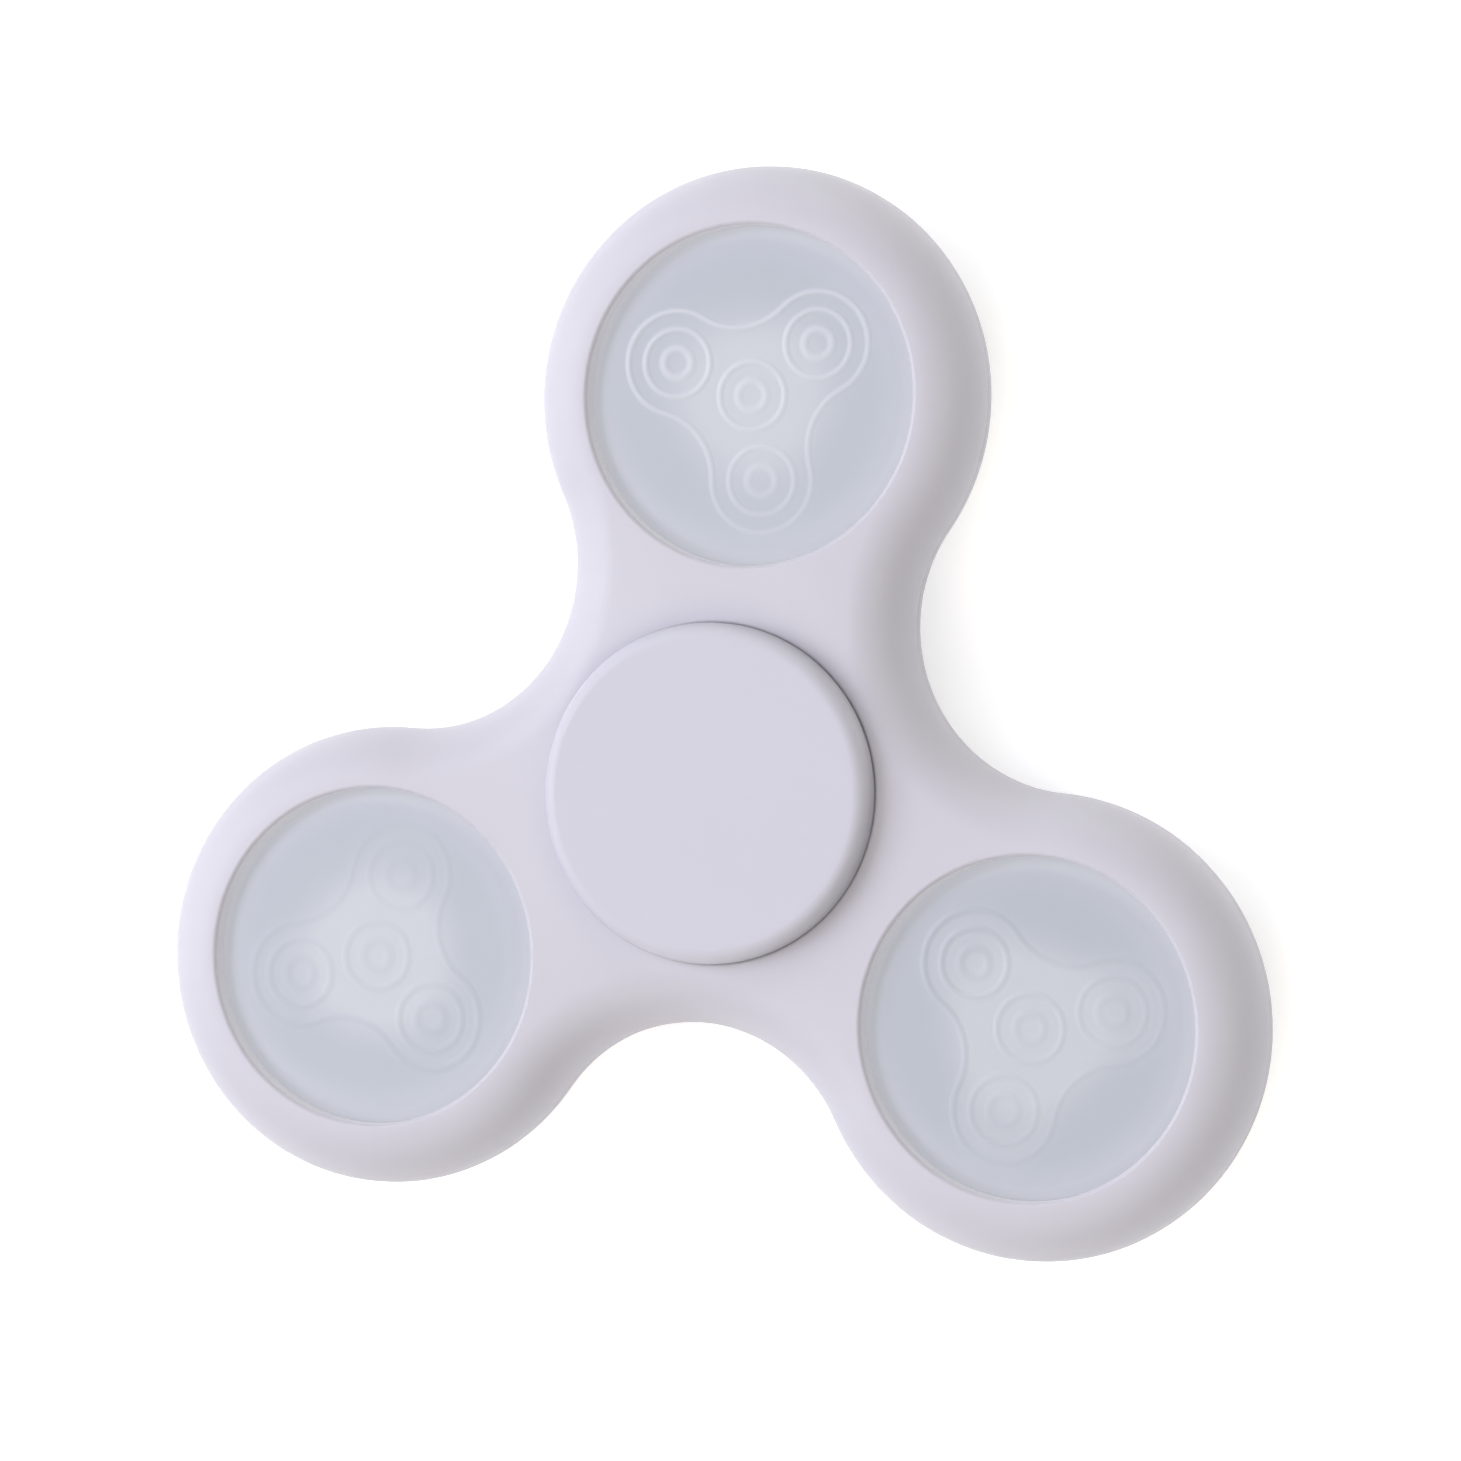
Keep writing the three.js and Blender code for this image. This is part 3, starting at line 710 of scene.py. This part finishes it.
def lens_mesh(letter, emblem):
    made = Surface()
    side = circle((0, 0), LENS_R, LENS_STEPS)
    rings = [made.ring(side, LENS_R - radius, height, lean) for radius, height, lean in lens_rows()]
    for upper, lower in zip(rings, rings[1:]):
        made.bridge(upper, lower)
    middle = made.vertex((0, 0, LENS_UNDERSIDE), (0, 0, -1))
    for i in range(LENS_STEPS):
        made.faces.append((rings[-1][i - 1], rings[-1][i], middle))
    lens_top(made, rings[0], emblem)
    mesh = made.mesh(f"frosted_cap_{letter}")
    glow = mesh.attributes.new("glow", "FLOAT", "POINT")
    line = mesh.attributes.new("line", "FLOAT", "POINT")
    rim = mesh.attributes.new("rim", "FLOAT", "POINT")
    for i, spot in enumerate(made.places):
        on_top = spot.z > LENS_RIM_TOP - 0.05
        glow.data[i].value = glow_at(spot.xy, emblem) if on_top else 1
        faded = LINE_TINT * (1 - emblem.fade * glow.data[i].value)
        line.data[i].value = emblem.bump(spot.xy) * faded if on_top else 0
        # The rim's share of the painted glow and darker base.
        painted_rim_share = smooth_step(spot.xy.length, LENS_R - RIM_WIDTH, LENS_R - 0.1)
        rim.data[i].value = painted_rim_share if on_top else 1
    return mesh


def glow_at(point, emblem):
    """Painted light: the well seen shining through in the middle and the emblem, and shade lifted at the
    rim.
    """
    middle = 1 - smooth_step(point.length, GLOW_CORE_R, GLOW_END_R)
    inside = 1 - smooth_step(emblem.outline.distance(point), -OUTLINE_FADE, OUTLINE_FADE)
    edge = sum(RIM_GLOW * smooth_step(point.length, start, RIM_GLOW_END) for start in RIM_GLOW_STARTS)
    return min(1, emblem.shine * middle + emblem.filled * inside + edge)


# Each emblem's height in mm, how much wider its lines are, the painted light under its middle and inside
# the rest of it, its deeper side in degrees, and how much the brightest painted light hides its lines'
# painted tint.
EMBLEMS = {
    "a": (0.065, 1.25, 0.82, 0.15, 115, 0),
    "b": (0.035, 1.6, 0.97, 0.2, 290, 0.6),
    "c": (0.05, 1.4, 0.85, 0.45, 137, 0.7),
}
for letter, angle in LOBE_ANGLES.items():
    emblem = Emblem(EMBLEM_TURNS[letter], *EMBLEMS[letter])
    spot = (*polar(LOBE_PITCH, angle), MID_Z)
    mesh = lens_mesh(letter, emblem)
    node = f"lens_{letter}"
    place(mesh, FROSTED[letter], node, "lens_plastic", [node], spot, weighted=False)


# ---- Metals and clear resin ----


def metal(name, tint, roughness, lines=(1, 1, 1)):
    look = Look(name, roughness, metallic=1.0)
    drift = look.ranged(look.noise(0.3, detail=3.0), 0, 1)
    look.colour(look.mixed(drift, tint, tuple(value * 0.9 for value in tint)))
    turned_lines = look.noise(3, detail=3.0, stretch=lines)
    look.rough(look.ranged(turned_lines, roughness - 0.06, roughness + 0.1))
    look.bump(turned_lines, 0.002)
    return look.material


def epoxy(name, tint):
    look = Look(name, 0.12, Coat_Weight=0.4)
    drift = look.ranged(look.noise(1.2, detail=2.0), 0, 1)
    look.colour(look.mixed(drift, tint, tuple(value * 0.8 for value in tint)))
    look.rough(look.ranged(look.noise(5), 0.1, 0.2))
    return look.material


# ---- Shapes for the small pieces ----


def prism(outline, bottom, top, bevel=0.05):
    """An outline of flat points stood up between two heights, with its sharp edges bevelled."""
    work = bmesh.new()
    rows = [[work.verts.new(Vector((*point, z)) * MM) for point in outline] for z in (bottom, top)]
    work.faces.new(rows[0])
    work.faces.new(rows[1])
    for i in range(len(outline)):
        work.faces.new((rows[0][i - 1], rows[0][i], rows[1][i], rows[1][i - 1]))
    bmesh.ops.recalc_face_normals(work, faces=work.faces)
    if bevel:
        crisp = [edge for edge in work.edges if edge.calc_face_angle() > math.radians(30)]
        bmesh.ops.bevel(work, geom=crisp, offset=bevel * MM, segments=2, profile=0.5, affect="EDGES")
    return smoothed("prism", work)


def block(width, depth, bottom, top, bevel=0.05, out=0):
    """A box whose middle is moved out along +X."""
    x, y = width / 2, depth / 2
    outline = [Vector((out + a * x, b * y)) for a, b in ((-1, -1), (1, -1), (1, 1), (-1, 1))]
    return prism(outline, bottom, top, bevel)


def moved(mesh, turn, out=0):
    """Moves a mesh out along +X and turns it about the Z axis."""
    mesh.transform(Matrix.Rotation(math.radians(turn), 4, "Z") @ Matrix.Translation((out * MM, 0, 0)))
    return mesh


def together(name, *meshes):
    work = bmesh.new()
    for mesh in meshes:
        work.from_mesh(mesh)
        bpy.data.meshes.remove(mesh)
    made = bpy.data.meshes.new(name)
    work.to_mesh(made)
    work.free()
    return made


def carved(name, blank, tool):
    """The blank with the tool cut out of it."""
    whole = bpy.data.objects.new("blank", blank)
    cutter = bpy.data.objects.new("cutter", tool)
    for piece in (whole, cutter):
        bpy.context.scene.collection.objects.link(piece)
    cut = whole.modifiers.new("cut", "BOOLEAN")
    cut.operation, cut.solver, cut.object = "DIFFERENCE", "EXACT", cutter
    graph = bpy.context.evaluated_depsgraph_get()
    work = bmesh.new()
    work.from_object(whole, graph)
    for piece in (whole, cutter):
        bpy.data.objects.remove(piece)
    bpy.data.meshes.remove(blank)
    bpy.data.meshes.remove(tool)
    return smoothed(name, work)


# ---- Bearing ----

RING_HALF = 3.5  # half the bearing's width
RING_OUTER_R, RING_BORE_R = 10.97, 4
BALL_R, BALL_PITCH_R, BALL_COUNT = 1.9845, 7.5, 7
RACE_R, LAND_REACH = 2.06, 1.45
RACE_ANGLE = math.degrees(math.acos(LAND_REACH / RACE_R))
CAGE_HALF_WALL, CAGE_BOTTOM, CAGE_TOP, POCKET_R = 0.75, -2.6, 1.1, 2.12
RACE_STEPS, BALL_STEPS, INNER_RING_STEPS, CAGE_STEPS = 16, 24, 96, 140

bearing_look = metal("bearing_steel", (0.55, 0.56, 0.58), 0.16, (1, 1, 14))
cage_look = moulded("cage_nylon", (0.72, 0.68, 0.55), 0.45)


def race(start, end):
    return [point for point, _ in arc((BALL_PITCH_R, 0), RACE_R, start, end, RACE_STEPS)]


def sphere(radius):
    half_circle = [point for point, _ in arc((0, 0), radius, -90, 90, BALL_STEPS)]
    return turned("ball", half_circle, 2 * BALL_STEPS)


outer_land, inner_land = BALL_PITCH_R + LAND_REACH, BALL_PITCH_R - LAND_REACH
outer_corners = [
    (outer_land, -RING_HALF, 0.1),
    (RING_OUTER_R, -RING_HALF, 0.3),
    (RING_OUTER_R, RING_HALF, 0.3),
    (outer_land, RING_HALF, 0.1),
]
inner_corners = [
    (inner_land, RING_HALF, 0.1),
    (RING_BORE_R, RING_HALF, 0.3),
    (RING_BORE_R, -RING_HALF, 0.3),
    (inner_land, -RING_HALF, 0.1),
]
outer_section = rounded(outer_corners) + race(RACE_ANGLE, -RACE_ANGLE)
inner_section = rounded(inner_corners) + race(180 + RACE_ANGLE, 180 - RACE_ANGLE)
centre = (0, 0, MID_Z)
outer_ring = turned("outer_ring", outer_section, LARGE_STEPS)
place(outer_ring, bearing_look, "rotor", "bearing_steel", ["bearing_outer_ring"], centre)
inner_ring = turned("inner_ring", inner_section, INNER_RING_STEPS)
place(inner_ring, bearing_look, "hub", "bearing_steel", ["bearing_inner_ring"], centre)
wall_corners = [
    (BALL_PITCH_R - CAGE_HALF_WALL, CAGE_BOTTOM, 0.2),
    (BALL_PITCH_R + CAGE_HALF_WALL, CAGE_BOTTOM, 0.2),
    (BALL_PITCH_R + CAGE_HALF_WALL, CAGE_TOP, 0.1),
    (BALL_PITCH_R - CAGE_HALF_WALL, CAGE_TOP, 0.1),
]
ball_turns = [90 + 360 / BALL_COUNT * i for i in range(BALL_COUNT)]
pockets = together("pockets", *[moved(sphere(POCKET_R), turn, BALL_PITCH_R) for turn in ball_turns])
cage = carved("cage", turned("cage_wall", rounded(wall_corners), CAGE_STEPS), pockets)
place(cage, cage_look, "cage", "cage_nylon", ["bearing_cage"], centre, weighted=False)
for i, turn in enumerate(ball_turns, 1):
    spot = (*polar(BALL_PITCH_R, turn), MID_Z)
    ball = sphere(BALL_R)
    ball.name = f"ball_{i}_shape"
    place(ball, bearing_look, f"ball_{i}", "bearing_steel", [f"bearing_ball_{i}"], spot)


# ---- Pods ----

CASE_R, CASE_BOTTOM, CASE_SHOULDER = 11.03, -FACE + 0.1, -0.1
COVER_R, COVER_BOTTOM, COVER_TOP, COVER_SEAT_R = 10.05, -FACE + 0.2, -3.16, 10.2
COLLAR_R, COLLAR_TIP_R, COLLAR_TOP = 9.85, 9.95, 1.3  # the frosted cap snaps over the case's collar
COLLAR_BEAD_R, COLLAR_BEAD_FOOT, COLLAR_BEAD_EDGE = 10.05, 0.975, 1
BOARD_SEAT_R, BOARD_SEAT, CASE_INNER_R = 9.2, -0.33, 8.75
BOSS_R, BOSS_HOLE_R, BOSS_BOTTOM, BOSS_TOP = 1.6, 0.76, -2.75, -0.35
SPOKE_LENGTH, SPOKE_WIDTH, SPOKE_MIDDLE_R, SPOKE_BOTTOM, SPOKE_TOP = 7.4, 0.8, 5.15, -2.55, -0.36
HEAD_R, HEAD_SEAT_R, HEAD_BOTTOM, HEAD_TOP = 1.4, 1.55, COVER_BOTTOM + 0.08, COVER_BOTTOM + 0.53
HEAD_SEAT, COVER_HOLE_R, COVER_BOSS_TOP = HEAD_TOP + 0.02, 0.85, COVER_BOTTOM + 1
SHANK_CORE_R, THREAD_DEPTH, THREAD_PITCH, SCREW_TIP, SCREW_TIP_R = 0.54, 0.14, 0.5, -0.9, 0.12
THREAD_RUN_OUT = 0.3
CROSS_REACH, CROSS_HALF_WIDTH, CROSS_DEPTH = 0.85, 0.175, 0.3
CELL_TOP, CELL_BOTTOM, CELL_R, CELL_LID_R, CELL_PITCH_R = -0.35, -2.95, 3.4, 2.9, 5.15
CELL_LID_DEPTH, CELL_STEPS = 0.3, 72
CONTACT_TOP, CONTACT_BOTTOM, CONTACT_HALF_WIDTH, CONTACT_BEVEL = -2.98, -3.13, 0.9, 0.03
CONTACT_PAST_CELL = 12  # degrees that a contact runs on past a cell's middle
ARM_TURN = 51  # degrees from the last cell's middle to the end contact's arm
ARM_LENGTH, ARM_WIDTH, ARM_MIDDLE_R = 3.05, 1.2, 6.675
TAB_THICK, TAB_R, TAB_TOP = 0.15, 8.125, -0.33
BOARD_TOP, BOARD_BOTTOM, BOARD_R = 0.5, -0.3, 9.05
PARTS_FOOT = BOARD_TOP + 0.02  # where the parts on the board start
# The drop of resin over the controller: (radius, height above the board).
CONTROLLER = ((0, -0.1), (1.7, -0.1), (1.7, 0.05), (1.45, 0.33), (0.9, 0.5), (0.4, 0.54), (0, 0.55))
RESISTOR_WIDTH, RESISTOR_LENGTH, RESISTOR_RISE = 0.8, 1.6, 0.45
LED_PITCH_R = 5.6
SWITCH_SIDE, SWITCH_TOP, SWITCH_HOLE_R = 3, 1.25, 0.85
PLUNGER_R, PLUNGER_BOTTOM, PLUNGER_TOP = 0.75, 0.97, 1.72
QUARTERS = (90, 210, 330)  # round each pod: the cells, with a light over each
BETWEEN_QUARTERS = (30, 150, 270)


def case_mesh():
    section = rounded(
        [
            (COVER_SEAT_R, CASE_BOTTOM, 0.1),
            (CASE_R, CASE_BOTTOM, 0.2),
            (CASE_R, CASE_SHOULDER, 0.1),
            (COLLAR_R, CASE_SHOULDER),
            (COLLAR_R, COLLAR_BEAD_FOOT),
            (COLLAR_BEAD_R, COLLAR_BEAD_EDGE),
            (COLLAR_TIP_R, COLLAR_TOP, 0.05),
            (BOARD_SEAT_R, COLLAR_TOP, 0.1),
            (BOARD_SEAT_R, BOARD_SEAT),
            (CASE_INNER_R, BOARD_SEAT, 0.1),
            (CASE_INNER_R, COVER_TOP + 0.03),
            (COVER_SEAT_R, COVER_TOP + 0.03),
        ]
    )
    boss = rounded(
        [
            (BOSS_HOLE_R, BOSS_BOTTOM, 0.05),
            (BOSS_R, BOSS_BOTTOM, 0.1),
            (BOSS_R, BOSS_TOP, 0.1),
            (BOSS_HOLE_R, BOSS_TOP, 0.05),
        ]
    )
    spokes = []
    for turn in BETWEEN_QUARTERS:
        spoke = block(SPOKE_LENGTH, SPOKE_WIDTH, SPOKE_BOTTOM, SPOKE_TOP, 0.1, out=SPOKE_MIDDLE_R)
        spokes.append(moved(spoke, turn))
    wall = turned("wall", section, LARGE_STEPS)
    return together("case", wall, turned("boss", boss, SMALL_STEPS), *spokes)


def cover_mesh():
    section = rounded(
        [
            (COVER_HOLE_R, HEAD_SEAT),
            (HEAD_SEAT_R, HEAD_SEAT),
            (HEAD_SEAT_R, COVER_BOTTOM, 0.12),
            (COVER_R, COVER_BOTTOM, 0.25),
            (COVER_R, COVER_TOP, 0.1),
            (BOSS_R, COVER_TOP),
            (BOSS_R, COVER_BOSS_TOP, 0.1),
            (COVER_HOLE_R, COVER_BOSS_TOP),
        ]
    )
    return turned("cover", section, LARGE_STEPS)


def screw_mesh():
    """A pan head with a cross recess, and a shank with a thread wound round it."""
    shank_start, shank_end = HEAD_TOP, SCREW_TIP - THREAD_RUN_OUT
    rows = 48
    shank = [shank_start + (shank_end - shank_start) * i / rows for i in range(1, rows + 1)]
    head = rounded(
        [
            (0, HEAD_BOTTOM),
            (HEAD_R, HEAD_BOTTOM, 0.22),
            (HEAD_R, HEAD_TOP, 0.05),
            (SHANK_CORE_R, HEAD_TOP),
        ]
    )
    tip = [(SCREW_TIP_R, SCREW_TIP), (0, SCREW_TIP)]
    section = head + [(SHANK_CORE_R, height) for height in shank] + tip

    def thread(radius, height, angle):
        if radius != SHANK_CORE_R:
            return 0
        ends = smooth_step(height, shank_start, shank_start + THREAD_RUN_OUT)
        ends *= 1 - smooth_step(height, shank_end - THREAD_RUN_OUT, shank_end)
        turns = (height / THREAD_PITCH - angle / 360) % 1
        return THREAD_DEPTH * ends * (1 - abs(2 * turns - 1)) ** 1.5

    long, wide = CROSS_REACH, CROSS_HALF_WIDTH
    quarter = [Vector(spot).to_3d() for spot in ((long, wide), (wide, wide), (wide, long))]
    cross = []
    for turn in (0, 90, 180, 270):
        turning = Matrix.Rotation(math.radians(turn), 3, "Z")
        cross += [(turning @ spot).xy for spot in quarter]
    recess = prism(cross, HEAD_BOTTOM - 0.5, HEAD_BOTTOM + CROSS_DEPTH, 0)
    return carved("screw", turned("screw_blank", section, SMALL_STEPS, swell=thread), recess)


def cell_mesh(turn):
    lid_foot = CELL_BOTTOM + CELL_LID_DEPTH
    section = rounded(
        [
            (0, CELL_BOTTOM),
            (CELL_LID_R, CELL_BOTTOM, 0.15),
            (CELL_LID_R, lid_foot, 0.05),
            (CELL_R, lid_foot, 0.15),
            (CELL_R, CELL_TOP, 0.25),
            (0, CELL_TOP),
        ]
    )
    return moved(turned("cell", section, CELL_STEPS), turn, CELL_PITCH_R)


def strip(start, end):
    """A flat contact that follows the cells' circle."""
    steps = 36
    outer = arc((0, 0), CELL_PITCH_R + CONTACT_HALF_WIDTH, start, end, steps)
    inner = arc((0, 0), CELL_PITCH_R - CONTACT_HALF_WIDTH, end, start, steps)
    outline = [point for point, _ in outer + inner]
    return prism(outline, CONTACT_BOTTOM, CONTACT_TOP, CONTACT_BEVEL)


def bridge_contact():
    return strip(QUARTERS[0] - CONTACT_PAST_CELL, QUARTERS[1] + CONTACT_PAST_CELL)


def end_contact():
    """A strip under the last cell, with an arm out to the wall and a tab up to the board."""
    end = QUARTERS[2] + ARM_TURN
    arm = block(ARM_LENGTH, ARM_WIDTH, CONTACT_BOTTOM, CONTACT_TOP, CONTACT_BEVEL, out=ARM_MIDDLE_R)
    tab = block(TAB_THICK, ARM_WIDTH, CONTACT_BOTTOM, TAB_TOP, CONTACT_BEVEL, out=TAB_R)
    under_cell = strip(QUARTERS[2] - CONTACT_PAST_CELL, end)
    return together("end_contact", under_cell, moved(arm, end), moved(tab, end))


def board_mesh():
    """The board with a drop of resin over its controller and two chip resistors side by side."""
    disc_corners = [
        (0, BOARD_BOTTOM),
        (BOARD_R, BOARD_BOTTOM, 0.05),
        (BOARD_R, BOARD_TOP, 0.05),
        (0, BOARD_TOP),
    ]
    disc = turned("disc", rounded(disc_corners), LARGE_STEPS)
    drop = [(radius, BOARD_TOP + rise) for radius, rise in CONTROLLER]
    controller = moved(turned("controller", drop, SMALL_STEPS, 50), BETWEEN_QUARTERS[0], LED_PITCH_R)
    resistors = []
    for side in (-1, 1):
        foot, top = BOARD_TOP - 0.1, BOARD_TOP + RESISTOR_RISE
        resistor = block(RESISTOR_WIDTH, RESISTOR_LENGTH, foot, top, out=LED_PITCH_R)
        resistor.transform(Matrix.Translation((0, side * MM, 0)))
        resistors.append(moved(resistor, BETWEEN_QUARTERS[1]))
    return together("board", disc, controller, *resistors)


def led_mesh(turn):
    """A light's base with a smaller clear window on it."""
    base = block(2, 1.3, PARTS_FOOT, PARTS_FOOT + 0.4)
    window = block(1.3, 1, PARTS_FOOT + 0.3, PARTS_FOOT + 0.65, 0.12)
    led = together("led", base, window)
    led.transform(Matrix.Translation(Vector((*polar(LED_PITCH_R, turn), 0)) * MM))
    return led


def switch_mesh():
    """A square case with a round well for the plunger."""
    floor_z, past_top = PARTS_FOOT + 0.1, 2
    section = [(0, floor_z), (SWITCH_HOLE_R, floor_z), (SWITCH_HOLE_R, past_top), (0, past_top)]
    well = turned("well", section, SMALL_STEPS)
    return carved("switch", block(SWITCH_SIDE, SWITCH_SIDE, PARTS_FOOT, SWITCH_TOP, 0.1), well)


def plunger_mesh():
    section = rounded(
        [
            (0, PLUNGER_BOTTOM),
            (PLUNGER_R, PLUNGER_BOTTOM, 0.05),
            (PLUNGER_R, PLUNGER_TOP, 0.15),
            (0, PLUNGER_TOP),
        ]
    )
    return turned("plunger", section, SMALL_STEPS)


cell_look = metal("cell_steel", (0.58, 0.59, 0.60), 0.26)
brass_look = metal("contact_brass", (0.66, 0.45, 0.16), 0.3, (1, 6, 1))
screw_look = metal("screw_steel", (0.42, 0.43, 0.45), 0.3)
board_look = moulded("board_mask", (0.03, 0.16, 0.07), 0.3, spread=0.25)
switch_look = moulded("switch_plastic", (0.03, 0.03, 0.035), 0.4, spread=0.2)
plunger_look = moulded("plunger_plastic", (0.60, 0.54, 0.42), 0.5)
LED_TINTS = {"red": (0.80, 0.42, 0.38), "green": (0.50, 0.80, 0.46), "blue": (0.42, 0.54, 0.85)}
led_looks = {colour: epoxy(f"led_{colour}", tint) for colour, tint in LED_TINTS.items()}

for letter, angle in LOBE_ANGLES.items():
    pieces = [
        ("pod_case", case_mesh(), pod_look, "pod_plastic"),
        ("rear_cover", cover_mesh(), pod_look, "pod_plastic"),
        ("cover_screw", screw_mesh(), screw_look, "screw_steel"),
        ("contact_bridge", bridge_contact(), brass_look, "contact_brass"),
        ("contact_end", end_contact(), brass_look, "contact_brass"),
        ("circuit_board", board_mesh(), board_look, "board"),
        ("switch_body", switch_mesh(), switch_look, "switch_plastic"),
    ]
    for i, turn in enumerate(QUARTERS, 1):
        pieces.append((f"cell_{i}", cell_mesh(turn), cell_look, "cell_steel"))
    for colour, turn in zip(LED_TINTS, QUARTERS):
        pieces.append((f"led_{colour}", led_mesh(turn), led_looks[colour], f"led_{colour}"))
    spot = (*polar(LOBE_PITCH, angle), MID_Z)
    for node, mesh, look, slot in pieces:
        mesh.name = f"{node}_{letter}_shape"
        place(mesh, look, "rotor", slot, [f"{node}_{letter}"], spot, angle - 90)
    plunger = plunger_mesh()
    plunger.name = f"plunger_{letter}_shape"
    node = f"switch_plunger_{letter}"
    place(plunger, plunger_look, f"plunger_{letter}", "plunger_plastic", [node], spot, angle - 90)


# ---- Floor, light and camera ----

FLOOR_GAP = 0.02  # mm below the object
FLOOR_HALF = 3.0  # metres
FLOOR_GLOW = 0.36
WORLD_LIGHT = 0.03


def floor():
    look = Look("floor_paper", 0.9, Specular_IOR_Level=0.0)
    white = (0.94, 0.94, 0.94)
    grain = look.ranged(look.noise(0.4, detail=3.0), 0, 1)
    look.colour(look.mixed(grain, white, (0.93, 0.93, 0.93)))
    look.shader.inputs["Emission Color"].default_value = (1, 1, 1, 1)
    look.shader.inputs["Emission Strength"].default_value = FLOOR_GLOW
    mesh = bpy.data.meshes.new("floor")
    corners = [(FLOOR_HALF * a, FLOOR_HALF * b, 0) for a, b in ((-1, -1), (1, -1), (1, 1), (-1, 1))]
    mesh.from_pydata(corners, [], [(0, 1, 2, 3)])
    mesh.materials.append(look.material)
    made = bpy.data.objects.new("floor", mesh)
    made.location.z = -FLOOR_GAP * MM
    bpy.context.scene.collection.objects.link(made)


# Each soft box: direction round from +X and up from the floor in degrees, side and distance in metres,
# power in watts and colour.
SOFT_BOXES = {
    "left": (180, 45, 0.8, 1.2, 9.2, (0.95, 0.97, 1.08)),
    "left_low": (180, 18, 0.8, 1.2, 3.9, (1.03, 1.05, 0.92)),
    "upper_left": (135, 45, 0.8, 1.2, 2.2, (0.86, 0.90, 1.24)),
    "lower": (270, 45, 0.8, 1.2, 4.8, (1.07, 1.04, 0.89)),
    "right": (0, 45, 0.8, 1.2, 3.5, (1.04, 1.05, 0.91)),
    "upper_low": (90, 18, 0.8, 1.2, 4.6, (1.07, 1.07, 0.86)),
    "overhead": (0, 89, 0.9, 1.2, 3.6, (1.00, 0.955, 1.045)),
}


def soft_box(name, turn, rise, side, distance, power, colour):
    lamp = bpy.data.lights.new(name, "AREA")
    lamp.shape, lamp.size = "SQUARE", side
    lamp.energy, lamp.color = power, colour
    made = bpy.data.objects.new(name, lamp)
    towards = polar(math.cos(math.radians(rise)), turn)
    made.location = Vector((*towards, math.sin(math.radians(rise)))) * distance
    made.rotation_euler = made.location.to_track_quat("Z", "Y").to_euler()
    bpy.context.scene.collection.objects.link(made)


def light():
    world = bpy.data.worlds.new("studio")
    world.use_nodes = True
    background = world.node_tree.nodes["Background"]
    background.inputs["Color"].default_value = (1, 1, 1, 1)
    background.inputs["Strength"].default_value = WORLD_LIGHT
    bpy.context.scene.world = world
    for name, settings in SOFT_BOXES.items():
        soft_box(name, *settings)


CAMERA_TURN = (0.156, 17.879, 5.451)  # degrees about X, Y and Z
CAMERA_OFFSET = (1.2547, 4.087, 440.91)  # mm right, up and back from the middle of the front face
CAMERA_LENS, CAMERA_SENSOR = 167.04, 36


def camera():
    data = bpy.data.cameras.new("camera")
    data.lens, data.sensor_width = CAMERA_LENS, CAMERA_SENSOR
    made = bpy.data.objects.new("camera", data)
    made.rotation_euler = Euler([math.radians(angle) for angle in CAMERA_TURN])
    offset = made.rotation_euler.to_matrix() @ Vector(CAMERA_OFFSET)
    made.location = (Vector((0, 0, MID_Z + FACE)) + offset) * MM
    bpy.context.scene.collection.objects.link(made)
    bpy.context.scene.camera = made
    bpy.context.scene.view_settings.view_transform = "Standard"


floor()
light()
camera()
